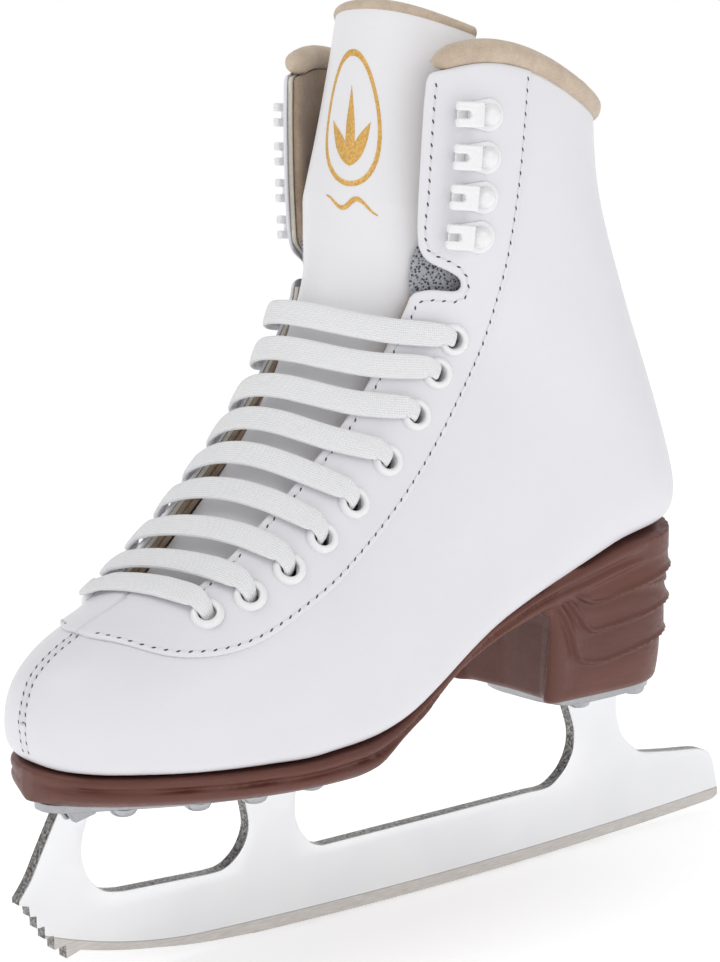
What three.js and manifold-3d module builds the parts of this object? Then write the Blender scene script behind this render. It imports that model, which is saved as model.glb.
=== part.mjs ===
// Figure skate for the left foot, lateral side towards +X, toe towards -Y, +Z up, millimetres.
// The origin is the point of the blade's edge that stands on the ice.
import * as THREE from 'three';
import Module from 'manifold-3d';

const wasm = await Module();
wasm.setup();

const V = (x, y, z) => new THREE.Vector3(x, y, z);
const lerp = (a, b, t) => a + (b - a) * t;
const GAP = 0.3;                    // air between neighbouring pieces

// ---------------------------------------------------------------- materials
const material = (color, metalness, roughness) =>
  new THREE.MeshStandardMaterial({ color, metalness, roughness });
const LEATHER = material(0xf0eff0, 0, 0.45);
const SUEDE = material(0xc9bba8, 0, 0.95);
const LINING = material(0xb9a78f, 0, 0.9);
const MESH = material(0x8d8f93, 0, 0.9);
const LACE = material(0xf4f4f2, 0, 0.85);
const ENAMEL = material(0xf6f6f4, 0, 0.3);
const SOLE = material(0x5d3a30, 0, 0.5);
const STEEL = material(0xd4d7db, 1, 0.2);

// ---------------------------------------------------------------- mesh helpers
function closedGeometry(points, faces) {
  let volume = 0;
  for (const [a, b, c] of faces) {
    volume += points[a].dot(points[b].clone().cross(points[c])) / 6;
  }
  const ordered = volume < 0 ? faces.map(([a, b, c]) => [a, c, b]) : faces;
  const geometry = new THREE.BufferGeometry();
  const flat = points.flatMap((p) => [p.x, p.y, p.z]);
  geometry.setAttribute('position', new THREE.Float32BufferAttribute(flat, 3));
  geometry.setIndex(ordered.flat());
  return geometry;
}

// A sheet with thickness: two grids of points, one per face, joined around the rim.
function sheetSolid(outer, inner) {
  const rows = outer.length;
  const cols = outer[0].length;
  const points = [...outer.flat(), ...inner.flat()];
  const at = (side, i, j) => side * rows * cols + i * cols + j;
  const faces = [];
  const quad = (a, b, c, d) => faces.push([a, b, c], [a, c, d]);
  for (let i = 0; i < rows - 1; i += 1) {
    for (let j = 0; j < cols - 1; j += 1) {
      quad(at(0, i, j), at(0, i + 1, j), at(0, i + 1, j + 1), at(0, i, j + 1));
      quad(at(1, i, j), at(1, i, j + 1), at(1, i + 1, j + 1), at(1, i + 1, j));
    }
  }
  for (let i = 0; i < rows - 1; i += 1) {
    quad(at(0, i, 0), at(1, i, 0), at(1, i + 1, 0), at(0, i + 1, 0));
    quad(at(0, i, cols - 1), at(0, i + 1, cols - 1), at(1, i + 1, cols - 1), at(1, i, cols - 1));
  }
  for (let j = 0; j < cols - 1; j += 1) {
    quad(at(0, 0, j), at(0, 0, j + 1), at(1, 0, j + 1), at(1, 0, j));
    quad(at(0, rows - 1, j), at(1, rows - 1, j), at(1, rows - 1, j + 1), at(0, rows - 1, j + 1));
  }
  return closedGeometry(points, faces);
}

// A solid through equal closed rings, its ends closed by a fan about each ring's middle.
function loft(rings) {
  const n = rings[0].length;
  const points = rings.flat();
  const faces = [];
  for (let i = 0; i < rings.length - 1; i += 1) {
    for (let j = 0; j < n; j += 1) {
      const k = (j + 1) % n;
      faces.push([i * n + j, i * n + k, (i + 1) * n + k]);
      faces.push([i * n + j, (i + 1) * n + k, (i + 1) * n + j]);
    }
  }
  const cap = (ring, start, flip) => {
    const middle = ring.reduce((sum, p) => sum.add(p), V(0, 0, 0)).divideScalar(n);
    points.push(middle);
    for (let j = 0; j < n; j += 1) {
      const k = (j + 1) % n;
      faces.push(flip ? [points.length - 1, start + k, start + j] : [points.length - 1, start + j, start + k]);
    }
  };
  cap(rings[0], 0, true);
  cap(rings[rings.length - 1], (rings.length - 1) * n, false);
  return closedGeometry(points, faces);
}

// ---------------------------------------------------------------- solid booleans
function toSolid(geometry) {
  const position = geometry.getAttribute('position');
  const index = geometry.index ? geometry.index.array : [...Array(position.count).keys()];
  const seen = new Map();
  const vertices = [];
  const remap = [];
  for (let i = 0; i < position.count; i += 1) {
    const p = [position.getX(i), position.getY(i), position.getZ(i)];
    const key = p.map((c) => Math.round(c * 1e4)).join();
    if (!seen.has(key)) {
      seen.set(key, vertices.length / 3);
      vertices.push(...p);
    }
    remap.push(seen.get(key));
  }
  const triangles = [];
  for (let i = 0; i < index.length; i += 3) {
    const [a, b, c] = [remap[index[i]], remap[index[i + 1]], remap[index[i + 2]]];
    if (a !== b && b !== c && c !== a) triangles.push(a, b, c);
  }
  return new wasm.Manifold(new wasm.Mesh({
    numProp: 3,
    vertProperties: Float32Array.from(vertices),
    triVerts: Uint32Array.from(triangles),
  }));
}

function toGeometry(solid) {
  const mesh = solid.getMesh();
  const geometry = new THREE.BufferGeometry();
  geometry.setAttribute('position', new THREE.Float32BufferAttribute(mesh.vertProperties, 3));
  geometry.setIndex([...mesh.triVerts]);
  return geometry;
}

const cut = (geometry, tools) =>
  toGeometry(tools.reduce((solid, tool) => solid.subtract(toSolid(tool)), toSolid(geometry)));
const join = (a, b) => toGeometry(toSolid(a).add(toSolid(b)));
const keepInside = (a, b) => toGeometry(toSolid(a).intersect(toSolid(b)));

// An outline in Y and Z, made `depth` thick and centred on x = middle.
function slabX(shape, depth, middle = 0) {
  const geometry = new THREE.ExtrudeGeometry(shape, { depth, bevelEnabled: false, curveSegments: 12 });
  geometry.translate(0, 0, -depth / 2);
  geometry.applyMatrix4(new THREE.Matrix4().makeBasis(V(0, 1, 0), V(0, 0, 1), V(1, 0, 0)));
  geometry.translate(middle, 0, 0);
  return geometry;
}

function outline(points) {
  return new THREE.Shape(points.map(([a, b]) => new THREE.Vector2(a, b)));
}

// A smooth open curve through a few points, sampled evenly.
function through(points, count) {
  const curve = new THREE.SplineCurve(points.map(([a, b]) => new THREE.Vector2(a, b)));
  return curve.getPoints(count).map((p) => [p.x, p.y]);
}

// A turned part whose axis points along `axis` from `base`.
function turned(profile, segments, base, axis) {
  const geometry = new THREE.LatheGeometry(profile.map(([r, h]) => new THREE.Vector2(r, h)), segments);
  const turn = new THREE.Quaternion().setFromUnitVectors(V(0, 1, 0), axis);
  geometry.applyQuaternion(turn);
  geometry.translate(base.x, base.y, base.z);
  return geometry;
}

// ---------------------------------------------------------------- the last
// Sections of the boot from toe to collar. Each one is a plane that holds the instep line's point
// (frontY, frontZ) and the floor's or the heel's point (backY, backZ), and it is symmetric in x.
// columns: frontY, frontZ, backY, backZ, half width, height of the widest place, roundness up, down
const LAST = [
  [-137.6, 71.4, -137.6, 70.6, 1, 0.45, 2, 2],
  [-136.8, 76, -136.8, 66, 7.5, 0.4, 2, 2],
  [-134.6, 82, -134.6, 62.6, 13.5, 0.35, 2.1, 2.3],
  [-130, 87, -130, 61.3, 20, 0.33, 2.1, 2.7],
  [-121, 92, -121, 60.2, 26.5, 0.3, 2.1, 3],
  [-107, 98.5, -107, 59.2, 32.5, 0.28, 2, 3.2],
  [-92.5, 109, -90, 58.4, 36.5, 0.27, 2.05, 3.3],
  [-78, 124, -70, 58.2, 38, 0.27, 2.05, 3.3],
  [-67, 139, -42, 62.3, 36.5, 0.3, 2.05, 3.2],
  [-59, 153.5, -4, 82.5, 34.5, 0.36, 2.05, 3],
  [-54, 167.5, 42, 97, 35, 0.42, 2.05, 2.7],
  [-50, 180, 78.5, 104, 36, 0.5, 2.05, 2.3],
  [-48, 192, 74.5, 131, 37.5, 0.55, 2.1, 2.1],
  [-46.5, 205, 59, 165, 38, 0.55, 2.15, 2.05],
  [-45.5, 219, 46.5, 194, 38.5, 0.53, 2.15, 2.05],
  [-45, 236, 43, 216, 38.5, 0.53, 2.15, 2.05],
  [-45, 253, 43, 233, 38.5, 0.53, 2.15, 2.05],
];
const TOP = LAST.length - 2;        // the section in which the collar lies

function lastAt(s) {
  const i = Math.min(Math.max(Math.floor(s), 0), LAST.length - 2);
  const t = s - i;
  const row = (k) => LAST[Math.min(Math.max(k, 0), LAST.length - 1)];
  return LAST[0].map((_, c) => {
    const [p0, p1, p2, p3] = [row(i - 1)[c], row(i)[c], row(i + 1)[c], row(i + 2)[c]];
    const m1 = (p2 - p0) / 2;
    const m2 = (p3 - p1) / 2;
    return (2 * t ** 3 - 3 * t ** 2 + 1) * p1 + (t ** 3 - 2 * t ** 2 + t) * m1
      + (3 * t ** 2 - 2 * t ** 3) * p2 + (t ** 3 - t ** 2) * m2;
  });
}

const RING = 72;                    // steps that measure a section's length
const sections = new Map();

// Half of one section, from the instep line round the lateral side, with the length to each point.
function section(s) {
  if (sections.has(s)) return sections.get(s);
  const [fy, fz, by, bz, half, widest, up, down] = lastAt(s);
  const height = Math.hypot(fy - by, fz - bz);
  const [ay, az] = [(fy - by) / height, (fz - bz) / height];
  const points = [];
  const lengths = [0];
  for (let k = 0; k <= RING; k += 1) {
    const angle = (Math.PI * k) / RING;
    const above = k <= RING / 2;
    const power = 2 / (above ? up : down);
    const x = half * Math.max(Math.sin(angle), 0) ** power;
    const rise = Math.abs(Math.cos(angle)) ** power * (above ? 1 - widest : -widest);
    const h = (widest + rise) * height;
    points.push(V(x, by + ay * h, bz + az * h));
    if (k > 0) lengths.push(lengths[k - 1] + points[k].distanceTo(points[k - 1]));
  }
  const made = { points, lengths, half: lengths[RING] };
  sections.set(s, made);
  return made;
}

const halfGirth = (s) => section(s).half;

// The point at `d` millimetres round the section from the instep line, positive on the lateral side.
function surface(s, d) {
  const { points, lengths, half } = section(s);
  const wanted = Math.min(Math.abs(d), half);
  let k = 1;
  while (k < RING && lengths[k] < wanted) k += 1;
  const t = (wanted - lengths[k - 1]) / (lengths[k] - lengths[k - 1]);
  const p = points[k - 1].clone().lerp(points[k], t);
  return V(d < 0 ? -p.x : p.x, p.y, p.z);
}

function normal(s, d) {
  const half = halfGirth(s);
  const inside = Math.min(Math.max(Math.abs(d), 0.3), half - 0.3);
  const step = 0.02;
  const across = surface(s, inside + 0.3).sub(surface(s, inside - 0.3));
  const share = inside / half;
  const along = surface(s + step, share * halfGirth(s + step))
    .sub(surface(s - step, share * halfGirth(s - step)));
  const n = across.cross(along).normalize();
  if (Math.abs(d) < 0.2 || Math.abs(d) > half - 0.2) n.setX(0).normalize();
  return V(d < 0 ? -n.x : n.x, n.y, n.z);
}

// A point off the last's surface: `off` is positive outwards.
const upper = (s, d, off) => surface(s, d).addScaledVector(normal(s, d), off);

// A panel on the last. rows are its stations from toe to collar, lifted by lift(s, j), where j is the
// share across the panel; d0 and d1 bound it round the section and may depend on s.
function panel({ rows, lift = () => 0, d0, d1, out, inn, cols, side = 1 }) {
  const value = (bound, at) => (typeof bound === 'function' ? bound(at) : bound);
  const grid = (off) => rows.map((row) => Array.from({ length: cols + 1 }, (_, j) => {
    const s = row + lift(row, j / cols);
    const d = lerp(value(d0, s), value(d1, s), j / cols);
    return upper(s, side * d, value(off, s));
  }));
  return sheetSolid(grid(out), grid(inn));
}

const even = (from, to, count) => Array.from({ length: count + 1 }, (_, i) => lerp(from, to, i / count));

// ---------------------------------------------------------------- layers and seams of the upper
const QUARTER = [0, -1.8];          // offsets of each layer's outer and inner face
const FACING = [1.7, 0.5];
const LINING_LAYER = [-4.4, -5.4];
const FOOTBED = [-6.8, -10];
const TONGUE_THICK = 4;
const THROAT = 5.2;                 // s of the front end of the lacing gap
const NOTCH = 11.5;                 // s of the ankle notch, where the hook flaps begin
const FLEX = 11.1;                  // s of the line about which the tongue bends
const SEAM = 0.15;                  // half the gap in the seams on the centre plane

const smooth = (t) => {
  const c = Math.min(Math.max(t, 0), 1);
  return c * c * (3 - 2 * c);
};
const facingEdge = (s) => lerp(0.4, 16.8 + 2.8 * (s - 5.7), smooth((s - THROAT) / 0.5));
const STITCH = [[4, 4.5], [4.5, 19.5], [5.6, 34], [7, 44], [9, 48.8], [11, 55], [13, 59.7], [15, 62.3]];

// Stations of the quarters, closer together where the throat opens and at the notch.
const QUARTER_ROWS = [0, 0.35, 0.8, 1.4, 2.2, 3.2, 4.2, 5.1, 5.25, 5.4, 5.6, 6.4, 7.2, 8, 8.8, 9.6, 10.2,
  10.8, NOTCH + 0.05, NOTCH + 0.15, 12.4, 13.4, 14.2, TOP];

// Distance of the facing's rear seam from the instep line.
function stitchLine(s) {
  let k = 1;
  while (k < STITCH.length - 1 && STITCH[k][0] < s) k += 1;
  const [a, b] = [STITCH[k - 1], STITCH[k]];
  const slope = (i) => {
    const [lo, hi] = [STITCH[Math.max(i - 1, 0)], STITCH[Math.min(i + 1, STITCH.length - 1)]];
    return (hi[1] - lo[1]) / (hi[0] - lo[0]);
  };
  const width = b[0] - a[0];
  const t = (s - a[0]) / width;
  return (2 * t ** 3 - 3 * t ** 2 + 1) * a[1] + (t ** 3 - 2 * t ** 2 + t) * width * slope(k - 1)
    + (3 * t ** 2 - 2 * t ** 3) * b[1] + (t ** 3 - t ** 2) * width * slope(k);
}

// The hook flap's hinge stands almost upright in the stitch line, from FOLD[0] to FOLD[1] (y, z).
const FOLD = [[-13.5, 174], [-6.5, 232]];
const foldY = (z) => lerp(FOLD[0][0], FOLD[1][0], (z - FOLD[0][1]) / (FOLD[1][1] - FOLD[0][1]));

function foldLine(s) {
  let [low, high] = [40, 75];
  for (let k = 0; k < 30; k += 1) {
    const middle = (low + high) / 2;
    const p = surface(s, middle);
    if (p.y > foldY(p.z)) high = middle;
    else low = middle;
  }
  return low;
}

const bump = (d, centre, width) => Math.exp(-(((d - centre) / width) ** 2));
// s of the collar's edge: it peaks over the ankle and dips at the front corners.
const collarEdge = (d) => TOP + 0.2 * bump(d, 60, 24) - 0.25 * bump(d, 30, 12);

// ---------------------------------------------------------------- eyelets
const EYELETS = 9;
const eyeletS = (i) => 5.58 + 0.655 * i;
const eyeletD = (i) => facingEdge(eyeletS(i)) + lerp(10.5, 15, smooth(i / 2.5));
const BARREL_R = 3;
const HOLE_R = BARREL_R + GAP;

function cylinder(radius, from, to, segments) {
  const axis = to.clone().sub(from);
  const length = axis.length();
  return turned([[0, 0], [radius, 0], [radius, length], [0, length]], segments, from, axis.normalize());
}

function eyeletHoles(side) {
  return Array.from({ length: EYELETS }, (_, i) => cylinder(
    HOLE_R, upper(eyeletS(i), side * eyeletD(i), -5), upper(eyeletS(i), side * eyeletD(i), 5), 9));
}

const EYELET_PROFILE = [
  [2.5, -4], [BARREL_R - 0.1, -4], [BARREL_R - 0.1, GAP], [4.3, GAP], [4.1, 1.1], [3, 1.3], [2.5, -4],
];

function eyelet(i, side) {
  const base = upper(eyeletS(i), side * eyeletD(i), FACING[0] + 0.35);
  return turned(EYELET_PROFILE, 10, base, normal(eyeletS(i), side * eyeletD(i)));
}

// ---------------------------------------------------------------- lace
const LACE_HALF = 3.4;              // half the flat lace's width on a bar
const LACE_PINCH = 1.9;             // half its width inside an eyelet
const LACE_THICK = 1.1;

// One flat lace: nine bars across the tongue, joined under alternate facings.
function lace() {
  const stops = [];                 // point, width direction, half width
  const along = (s, d) => surface(s + 0.02, d).sub(surface(s - 0.02, d)).normalize();
  const round = (s, d) => surface(s, d + 0.3).sub(surface(s, d - 0.3)).normalize();
  const push = (s, d, off, half, direction) =>
    stops.push([upper(s, d, off), direction === 's' ? along(s, d) : round(s, d), half]);
  for (let i = 0; i < EYELETS; i += 1) {
    const from = i % 2 ? 1 : -1;    // the side this bar starts from
    const [s, e] = [eyeletS(i), eyeletD(i)];
    const sag = lerp(0.2, 0.8, i / (EYELETS - 1));
    const barS = (d) => s - sag * Math.max(0, 1 - (d / (e - 3)) ** 2);
    const edge = facingEdge(s - sag / 2) + 0.8;
    push(s, from * (e - 0.2), -0.4, LACE_PINCH, 's');
    push(s, from * (e - 0.2), 2.2, LACE_PINCH, 's');
    push(s, from * (e - 0.9), 4.3, LACE_PINCH, 's');
    push(s, from * (e - 3), 4.5, 2.6, 's');
    push(barS(e - 6.5), from * (e - 6.5), 3.4, LACE_HALF, 's');
    const spans = 6;
    for (let k = 0; k <= spans; k += 1) {
      const share = 1 - (2 * k) / spans;
      const rise = i === 0 ? 3.1 : lerp(1.8, 3.1, share ** 2);
      push(barS(share * edge), from * share * edge, rise, LACE_HALF, 's');
    }
    push(barS(e - 6.5), -from * (e - 6.5), 3.4, LACE_HALF, 's');
    push(s, -from * (e - 3), 4.5, 2.6, 's');
    push(s, -from * (e - 0.9), 4.3, LACE_PINCH, 's');
    push(s, -from * (e - 0.2), 2.2, LACE_PINCH, 's');
    push(s, -from * (e - 0.2), -0.4, LACE_PINCH, 's');
    if (i < EYELETS - 1) {
      const [s2, e2] = [eyeletS(i + 1), eyeletD(i + 1)];
      const run = (t, off, half) =>
        push(lerp(s, s2, t), -from * (lerp(e, e2, t) - 0.2), off, half, 'd');
      run(0, -1.6, LACE_PINCH);
      run(0.08, -3.2, LACE_PINCH);
      run(0.5, -3.2, 2.6);
      run(0.92, -3.2, LACE_PINCH);
      run(1, -1.6, LACE_PINCH);
    }
  }
  let before = null;
  const rings = stops.map(([p, direction, half], k) => {
    const next = stops[Math.min(k + 1, stops.length - 1)][0];
    const last = stops[Math.max(k - 1, 0)][0];
    const tangent = next.clone().sub(last).normalize();
    const width = direction.clone().addScaledVector(tangent, -direction.dot(tangent)).normalize();
    if (before && width.dot(before) < 0) width.negate();
    before = width;
    const thick = tangent.clone().cross(width).multiplyScalar(LACE_THICK / 2);
    const w = width.clone().multiplyScalar(half);
    return [
      p.clone().add(w).add(thick), p.clone().add(w).sub(thick),
      p.clone().sub(w).sub(thick), p.clone().sub(w).add(thick),
    ];
  });
  return loft(rings);
}

// ---------------------------------------------------------------- hooks on the flaps
const HOOKS = 4;
const hookS = (i) => lerp(12.62, 14.42, i / (HOOKS - 1));
const HOOK_D = 46;

// A lace hook: round foot, neck, and a head whose two prongs point to the front edge.
function hook(i, side) {
  const s = hookS(i);
  const foot = upper(s, side * HOOK_D, FACING[0] + GAP);
  const out = normal(s, side * HOOK_D);
  const up = surface(s + 0.02, side * HOOK_D).sub(surface(s - 0.02, side * HOOK_D)).normalize();
  const front = up.clone().cross(out).multiplyScalar(side).normalize();
  if (front.y > 0) front.negate();
  const base = turned([[0, 0], [5, 0], [4.4, 1.2], [0, 1.2]], 9, foot, out);
  const neck = turned([[0, 0.6], [2.1, 0.6], [2.1, 5.4], [0, 5.4]], 6, foot, out);
  const head = turned([[0, 4.6], [3.1, 4.8], [2.6, 6.1], [0, 6.6]], 9, foot, out);
  const prongs = [-1.75, 1.75].map((shift) => {
    const bar = new THREE.BoxGeometry(8.5, 1.5, 1.3);
    bar.translate(4.25, 0, 0);
    bar.applyMatrix4(new THREE.Matrix4().makeBasis(front, up, front.clone().cross(up)));
    const at = foot.clone().addScaledVector(out, 5.2).addScaledVector(up, shift);
    bar.translate(at.x, at.y, at.z);
    return bar;
  });
  return prongs.reduce((body, bar) => join(body, bar), join(join(base, neck), head));
}

// ---------------------------------------------------------------- sole and heel
// The sole's top lies just under the last's floor, station by station.
const floorPoints = QUARTER_ROWS.filter((row) => row <= 11.2).map(lastAt).map((row) => [row[2], row[3] - GAP]);
const SOLE_TIP = 61.6;
const floorLine = [[-146, SOLE_TIP + 0.8], [-138.5, SOLE_TIP], ...floorPoints.filter(([y]) => y > -133), [90, 106]];
const soleLine = through([
  [-146, 55.5], [-136, 52.6], [-121, 50.6], [-100, 49.2], [-70, 48], [-54, 48.2], [-44, 52.6], [-32, 62],
  [-18, 71], [4, 79.4], [22, 84.2], [40, 86], [84, 88],
], 40);
const SOLE_WIDTH = [
  [-138.6, 2.5], [-137.6, 8], [-134.8, 14.5], [-129, 21], [-119, 27.6], [-105, 33.4], [-90, 36.8], [-75, 38],
  [-60, 37.2], [-46, 34.8], [-28, 31], [-8, 28.6], [18, 28], [40, 28.4], [55, 27.4], [65, 23], [71.5, 16],
  [75, 8.5], [76, 2.5],
];

function heightOf(line, y) {
  let k = 1;
  while (k < line.length - 1 && line[k][0] < y) k += 1;
  const t = (y - line[k - 1][0]) / (line[k][0] - line[k - 1][0]);
  return lerp(line[k - 1][1], line[k][1], t);
}

// Stations of the sole: those of its outline and those of the last's floor.
function soleStations() {
  const extra = floorPoints.map(([y]) => y).filter((y) => y > -126 && y < 60);
  const all = [...SOLE_WIDTH.map(([y]) => y), ...extra].sort((a, b) => a - b);
  return all.filter((y, k) => k === 0 || y - all[k - 1] > 1);
}

// One cross-section of the sole: two lips with a groove between, over a waist that is thin at its edge.
function soleRing(y) {
  const half = heightOf(SOLE_WIDTH, y);
  const top = heightOf(floorLine, y);
  const deep = top - heightOf(soleLine, y);
  const waist = smooth((y + 54) / 16);
  const edge = lerp(0.8 * deep, Math.min(4 + 0.05 * (y + 40), deep - 0.6), waist);
  const shrink = Math.min(1, half / 12);
  const wall = [
    [0, 0.7], [0.8, 0], [0.44 * edge, 0], [0.52 * edge, 0.9], [0.6 * edge, 0.2], [edge, 1], [deep, lerp(4.5, 12, waist)],
  ];
  const side = wall.map(([drop, inset]) => [half - inset * shrink, top - drop]);
  return [...side.map(([x, z]) => V(x, y, z)), ...side.reverse().map(([x, z]) => V(-x, y, z))];
}

const HEEL_FOOT = 53;               // height of the heel's underside
const roundPower = (c, power) => Math.sign(c) * Math.abs(c) ** (2 / power);

function heelRing(z, half, front, back) {
  const middle = (front + back) / 2;
  return Array.from({ length: 24 }, (_, k) => {
    const a = (2 * Math.PI * k) / 24;
    const power = Math.sin(a) < 0 ? 4.5 : 2.7;
    return V(half * roundPower(Math.cos(a), power), middle + ((back - front) / 2) * roundPower(Math.sin(a), power), z);
  });
}

const SCREW_HOLE = 2.1;

function outsole() {
  const slab = loft(soleStations().map(soleRing));
  const heel = loft([
    heelRing(HEEL_FOOT, 21.8, 25, 74.6), heelRing(HEEL_FOOT + 1.4, 23, 24, 75.4),
    heelRing(70, 25.2, 23.4, 75.9), heelRing(86, 27, 23, 76), heelRing(112, 27.4, 21, 76),
  ]);
  const above = outline([...floorLine, [90, 130], [-146, 130]]);
  const trimmed = cut(heel, [slabX(above, 90)]);
  const holes = screws().map(({ x, y, deep, face }) =>
    cylinder(SCREW_HOLE, V(x, y, face - 6), V(x, y, face + deep + 0.6), 8));
  return cut(join(slab, trimmed), holes);
}

// ---------------------------------------------------------------- blade and plates
const BLADE = 3.9;                  // thickness
const ROCKER = 2134;                // radius of the running edge
const PLATE = 2.5;
const RUNNER_TOP = 21;              // height at which the posts rise out of the runner
const BLADE_SEAT = 0.45;            // gap between the blade's tops and the sole plate's underside
const HEEL_PLATE_Z = HEEL_FOOT - GAP - PLATE;
const plateTop = [[-136, 50.4], [-128, 49.9], [-119, 49.4], [-100, 48.5], [-80, 47.8], [-62, 47.6], [-46, 47.6]];
const plateLine = plateTop.map(([y, z]) => [y, z - PLATE]);
const underPlate = (y) => heightOf(plateLine, y);
const rockerZ = (y) => ROCKER - Math.sqrt(ROCKER ** 2 - y ** 2);

function bladeShape() {
  const seat = (y) => [y, underPlate(y) - BLADE_SEAT];
  const run = [];
  for (let y = 105; y > -70; y -= 14) run.push([y, Math.abs(y) < 8 ? 0 : rockerZ(y)]);
  const spin = through([[-70, 1.3], [-87, 2.6], [-100, 4.5], [-110, 6.2], [-119, 8.2], [-124.2, 9.6]], 8);
  const teeth = [[-128.3, 8.3], [-128.5, 11.8], [-131.8, 11.4], [-132, 15.2], [-134.5, 14.8], [-134.6, 18.2],
    [-136.8, 18.1], [-136.9, 21.3], [-138.7, 21.6], [-139, 24.3], [-141.8, 25.2]];
  const front = through([[-141.8, 26.4], [-138.4, 31], [-134.8, 38], seat(-130)], 4);
  const belly = through([seat(-120.2), [-122.8, 40], [-123.5, 35], [-122.4, 30], [-120.2, 26.4], [-116.5, 23.6],
    [-111, 22.4]], 10);
  const bay = through([[-84, 21.1], [-79.6, 21.3], [-76, 22.8], [-73, 25.6], [-71, 29.6], [-70.8, 34],
    seat(-73.5)], 9);
  const waist = through([seat(-53.4), [-55, 33.7], [-54, 28.8], [-52, 25.2], [-49.2, 22.4], [-45.5, 21]], 9);
  const post = ([y, share]) => [y, lerp(RUNNER_TOP, HEEL_PLATE_Z, share)];
  const hollow = through([[34, 0], [39.8, 0], [43.6, 0.034], [48.2, 0.151], [51.2, 0.318], [51.9, 0.493],
    [50.8, 0.651], [46.8, 1]].map(post), 10);
  const stern = through([...[[71, 1], [69.8, 0.788], [69.9, 0.634], [71.4, 0.445], [74, 0.308], [78.2, 0.188],
    [82, 0.123]].map(post), [94, 22.8], [107, 21.2], [111.5, 19.6], [114, 17], [115.6, 12], [116.8, 7.4], [117, 4.4], [115, 3.4]], 20);
  return outline([...run, ...spin, ...teeth, ...front, ...belly, ...bay, ...waist, ...hollow, ...stern]);
}

function soleScrews() {
  return [[-114, 7], [-95, 12.6], [-79, 15.4], [-60, 15.2]].flatMap(([y, x]) =>
    [x, -x].map((side) => ({ x: side, y, face: underPlate(y), deep: 10 })));
}

function heelScrews() {
  return [[42, 13], [66, 12]].flatMap(([y, x]) =>
    [x, -x].map((side) => ({ x: side, y, face: HEEL_PLATE_Z, deep: 18 })));
}

function screws() {
  return [...soleScrews(), ...heelScrews()];
}

// A pan-head wood screw, head down, with a driver slot.
function screw({ x, y, face, deep }) {
  const head = face - GAP;
  const body = turned([
    [0, -1.9], [2.6, -1.6], [3.6, -0.3], [3.6, 0], [1.8, 0], [1.8, deep - 2.2], [0, deep],
  ], 9, V(x, y, head), V(0, 0, 1));
  const slot = new THREE.BoxGeometry(9, 0.8, 1.8);
  slot.translate(x, y, head - 1.9);
  return cut(body, [slot]);
}

function plan(points, low, high) {
  const mirrored = points.slice().reverse().map(([y, x]) => [y, -x]);
  const shape = new THREE.Shape([...points, ...mirrored].map(([y, x]) => new THREE.Vector2(x, y)));
  const geometry = new THREE.ExtrudeGeometry(shape, { depth: high - low, bevelEnabled: false });
  geometry.translate(0, 0, low);
  return geometry;
}

function screwWells(list) {
  return list.map(({ x, y, face }) => cylinder(SCREW_HOLE, V(x, y, face - 6), V(x, y, face + 6), 8));
}

function solePlate() {
  const curved = outline([...plateLine, ...plateTop.slice().reverse()]);
  const edge = through([[-134.6, 1.5], [-133.2, 4], [-128.5, 6.8], [-120, 9.2], [-106, 14], [-92, 17.6], [-78, 20],
    [-64, 20.8], [-54, 20.2], [-49.5, 17.5], [-47.4, 12]], 15);
  const plate = keepInside(slabX(curved, 60), plan(edge, 40, 56));
  const gusset = outline([[-129.5, underPlate(-129.5) + 0.4], [-126.8, underPlate(-126.8) - 2.9],
    [-121, underPlate(-121) - 1.4], [-119.5, underPlate(-119.5) + 0.4]]);
  const braced = [-1, 1].reduce((body, side) => join(body, slabX(gusset, 2.6, side * 3.7)), plate);
  return cut(braced, screwWells(soleScrews()));
}

function heelPlate() {
  const edge = through([[30, 7], [31.2, 13], [34, 17], [44, 18.3], [62, 17.2], [71, 13.5], [73, 7], [74, 2.5]], 10);
  return cut(plan(edge, HEEL_PLATE_Z, HEEL_PLATE_Z + PLATE), screwWells(heelScrews()));
}

// ---------------------------------------------------------------- pieces of the upper
const quarterFront = (s) => {
  if (s < THROAT) return SEAM;
  return s < NOTCH + 0.1 ? facingEdge(s) + 0.5 : foldLine(s) + 0.2;
};
const COLLAR_START = 12.4;          // above this s the rows spread to meet the collar's curved edge
const toCollar = (s, d) => (collarEdge(d) - TOP) * Math.max(0, (s - COLLAR_START) / (TOP - COLLAR_START));

function quarter(side) {
  const topD = (j) => lerp(quarterFront(TOP), halfGirth(TOP), j);
  return cut(panel({
    rows: QUARTER_ROWS, lift: (s, j) => toCollar(s, topD(j)), d0: quarterFront, d1: (s) => halfGirth(s) - SEAM,
    out: QUARTER[0], inn: QUARTER[1], cols: 11, side,
  }), eyeletHoles(side));
}

function facing(side) {
  const top = NOTCH - 0.2;
  return cut(panel({
    rows: [4, 4.15, 4.4, 4.8, 5.1, 5.25, 5.45, 5.75, 6.4, 7.2, 8, 8.8, 9.6, 10.3, 10.85, top],
    lift: (s, j) => 0.32 * smooth(j * 1.8) * Math.max(0, (s - 10.85) / (top - 10.85)),
    d0: (s) => (s < THROAT ? SEAM : facingEdge(s)), d1: stitchLine,
    out: FACING[0], inn: FACING[1], cols: 4, side,
  }), eyeletHoles(side));
}

function hookFlap(side) {
  const topD = (j) => lerp(33.5, foldLine(TOP), j);
  const foot = NOTCH + 0.5;
  return panel({
    rows: [foot, 12.4, 13, 13.7, 14.4, TOP],
    lift: (s, j) => toCollar(s, topD(j)) - 0.25 * smooth(j * 1.8) * Math.max(0, (12.4 - s) / (12.4 - foot)),
    d0: (s) => 32 + 0.5 * (s - 12), d1: (s) => foldLine(s) - 0.2,
    out: FACING[0], inn: QUARTER[1], cols: 4, side,
  });
}

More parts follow.
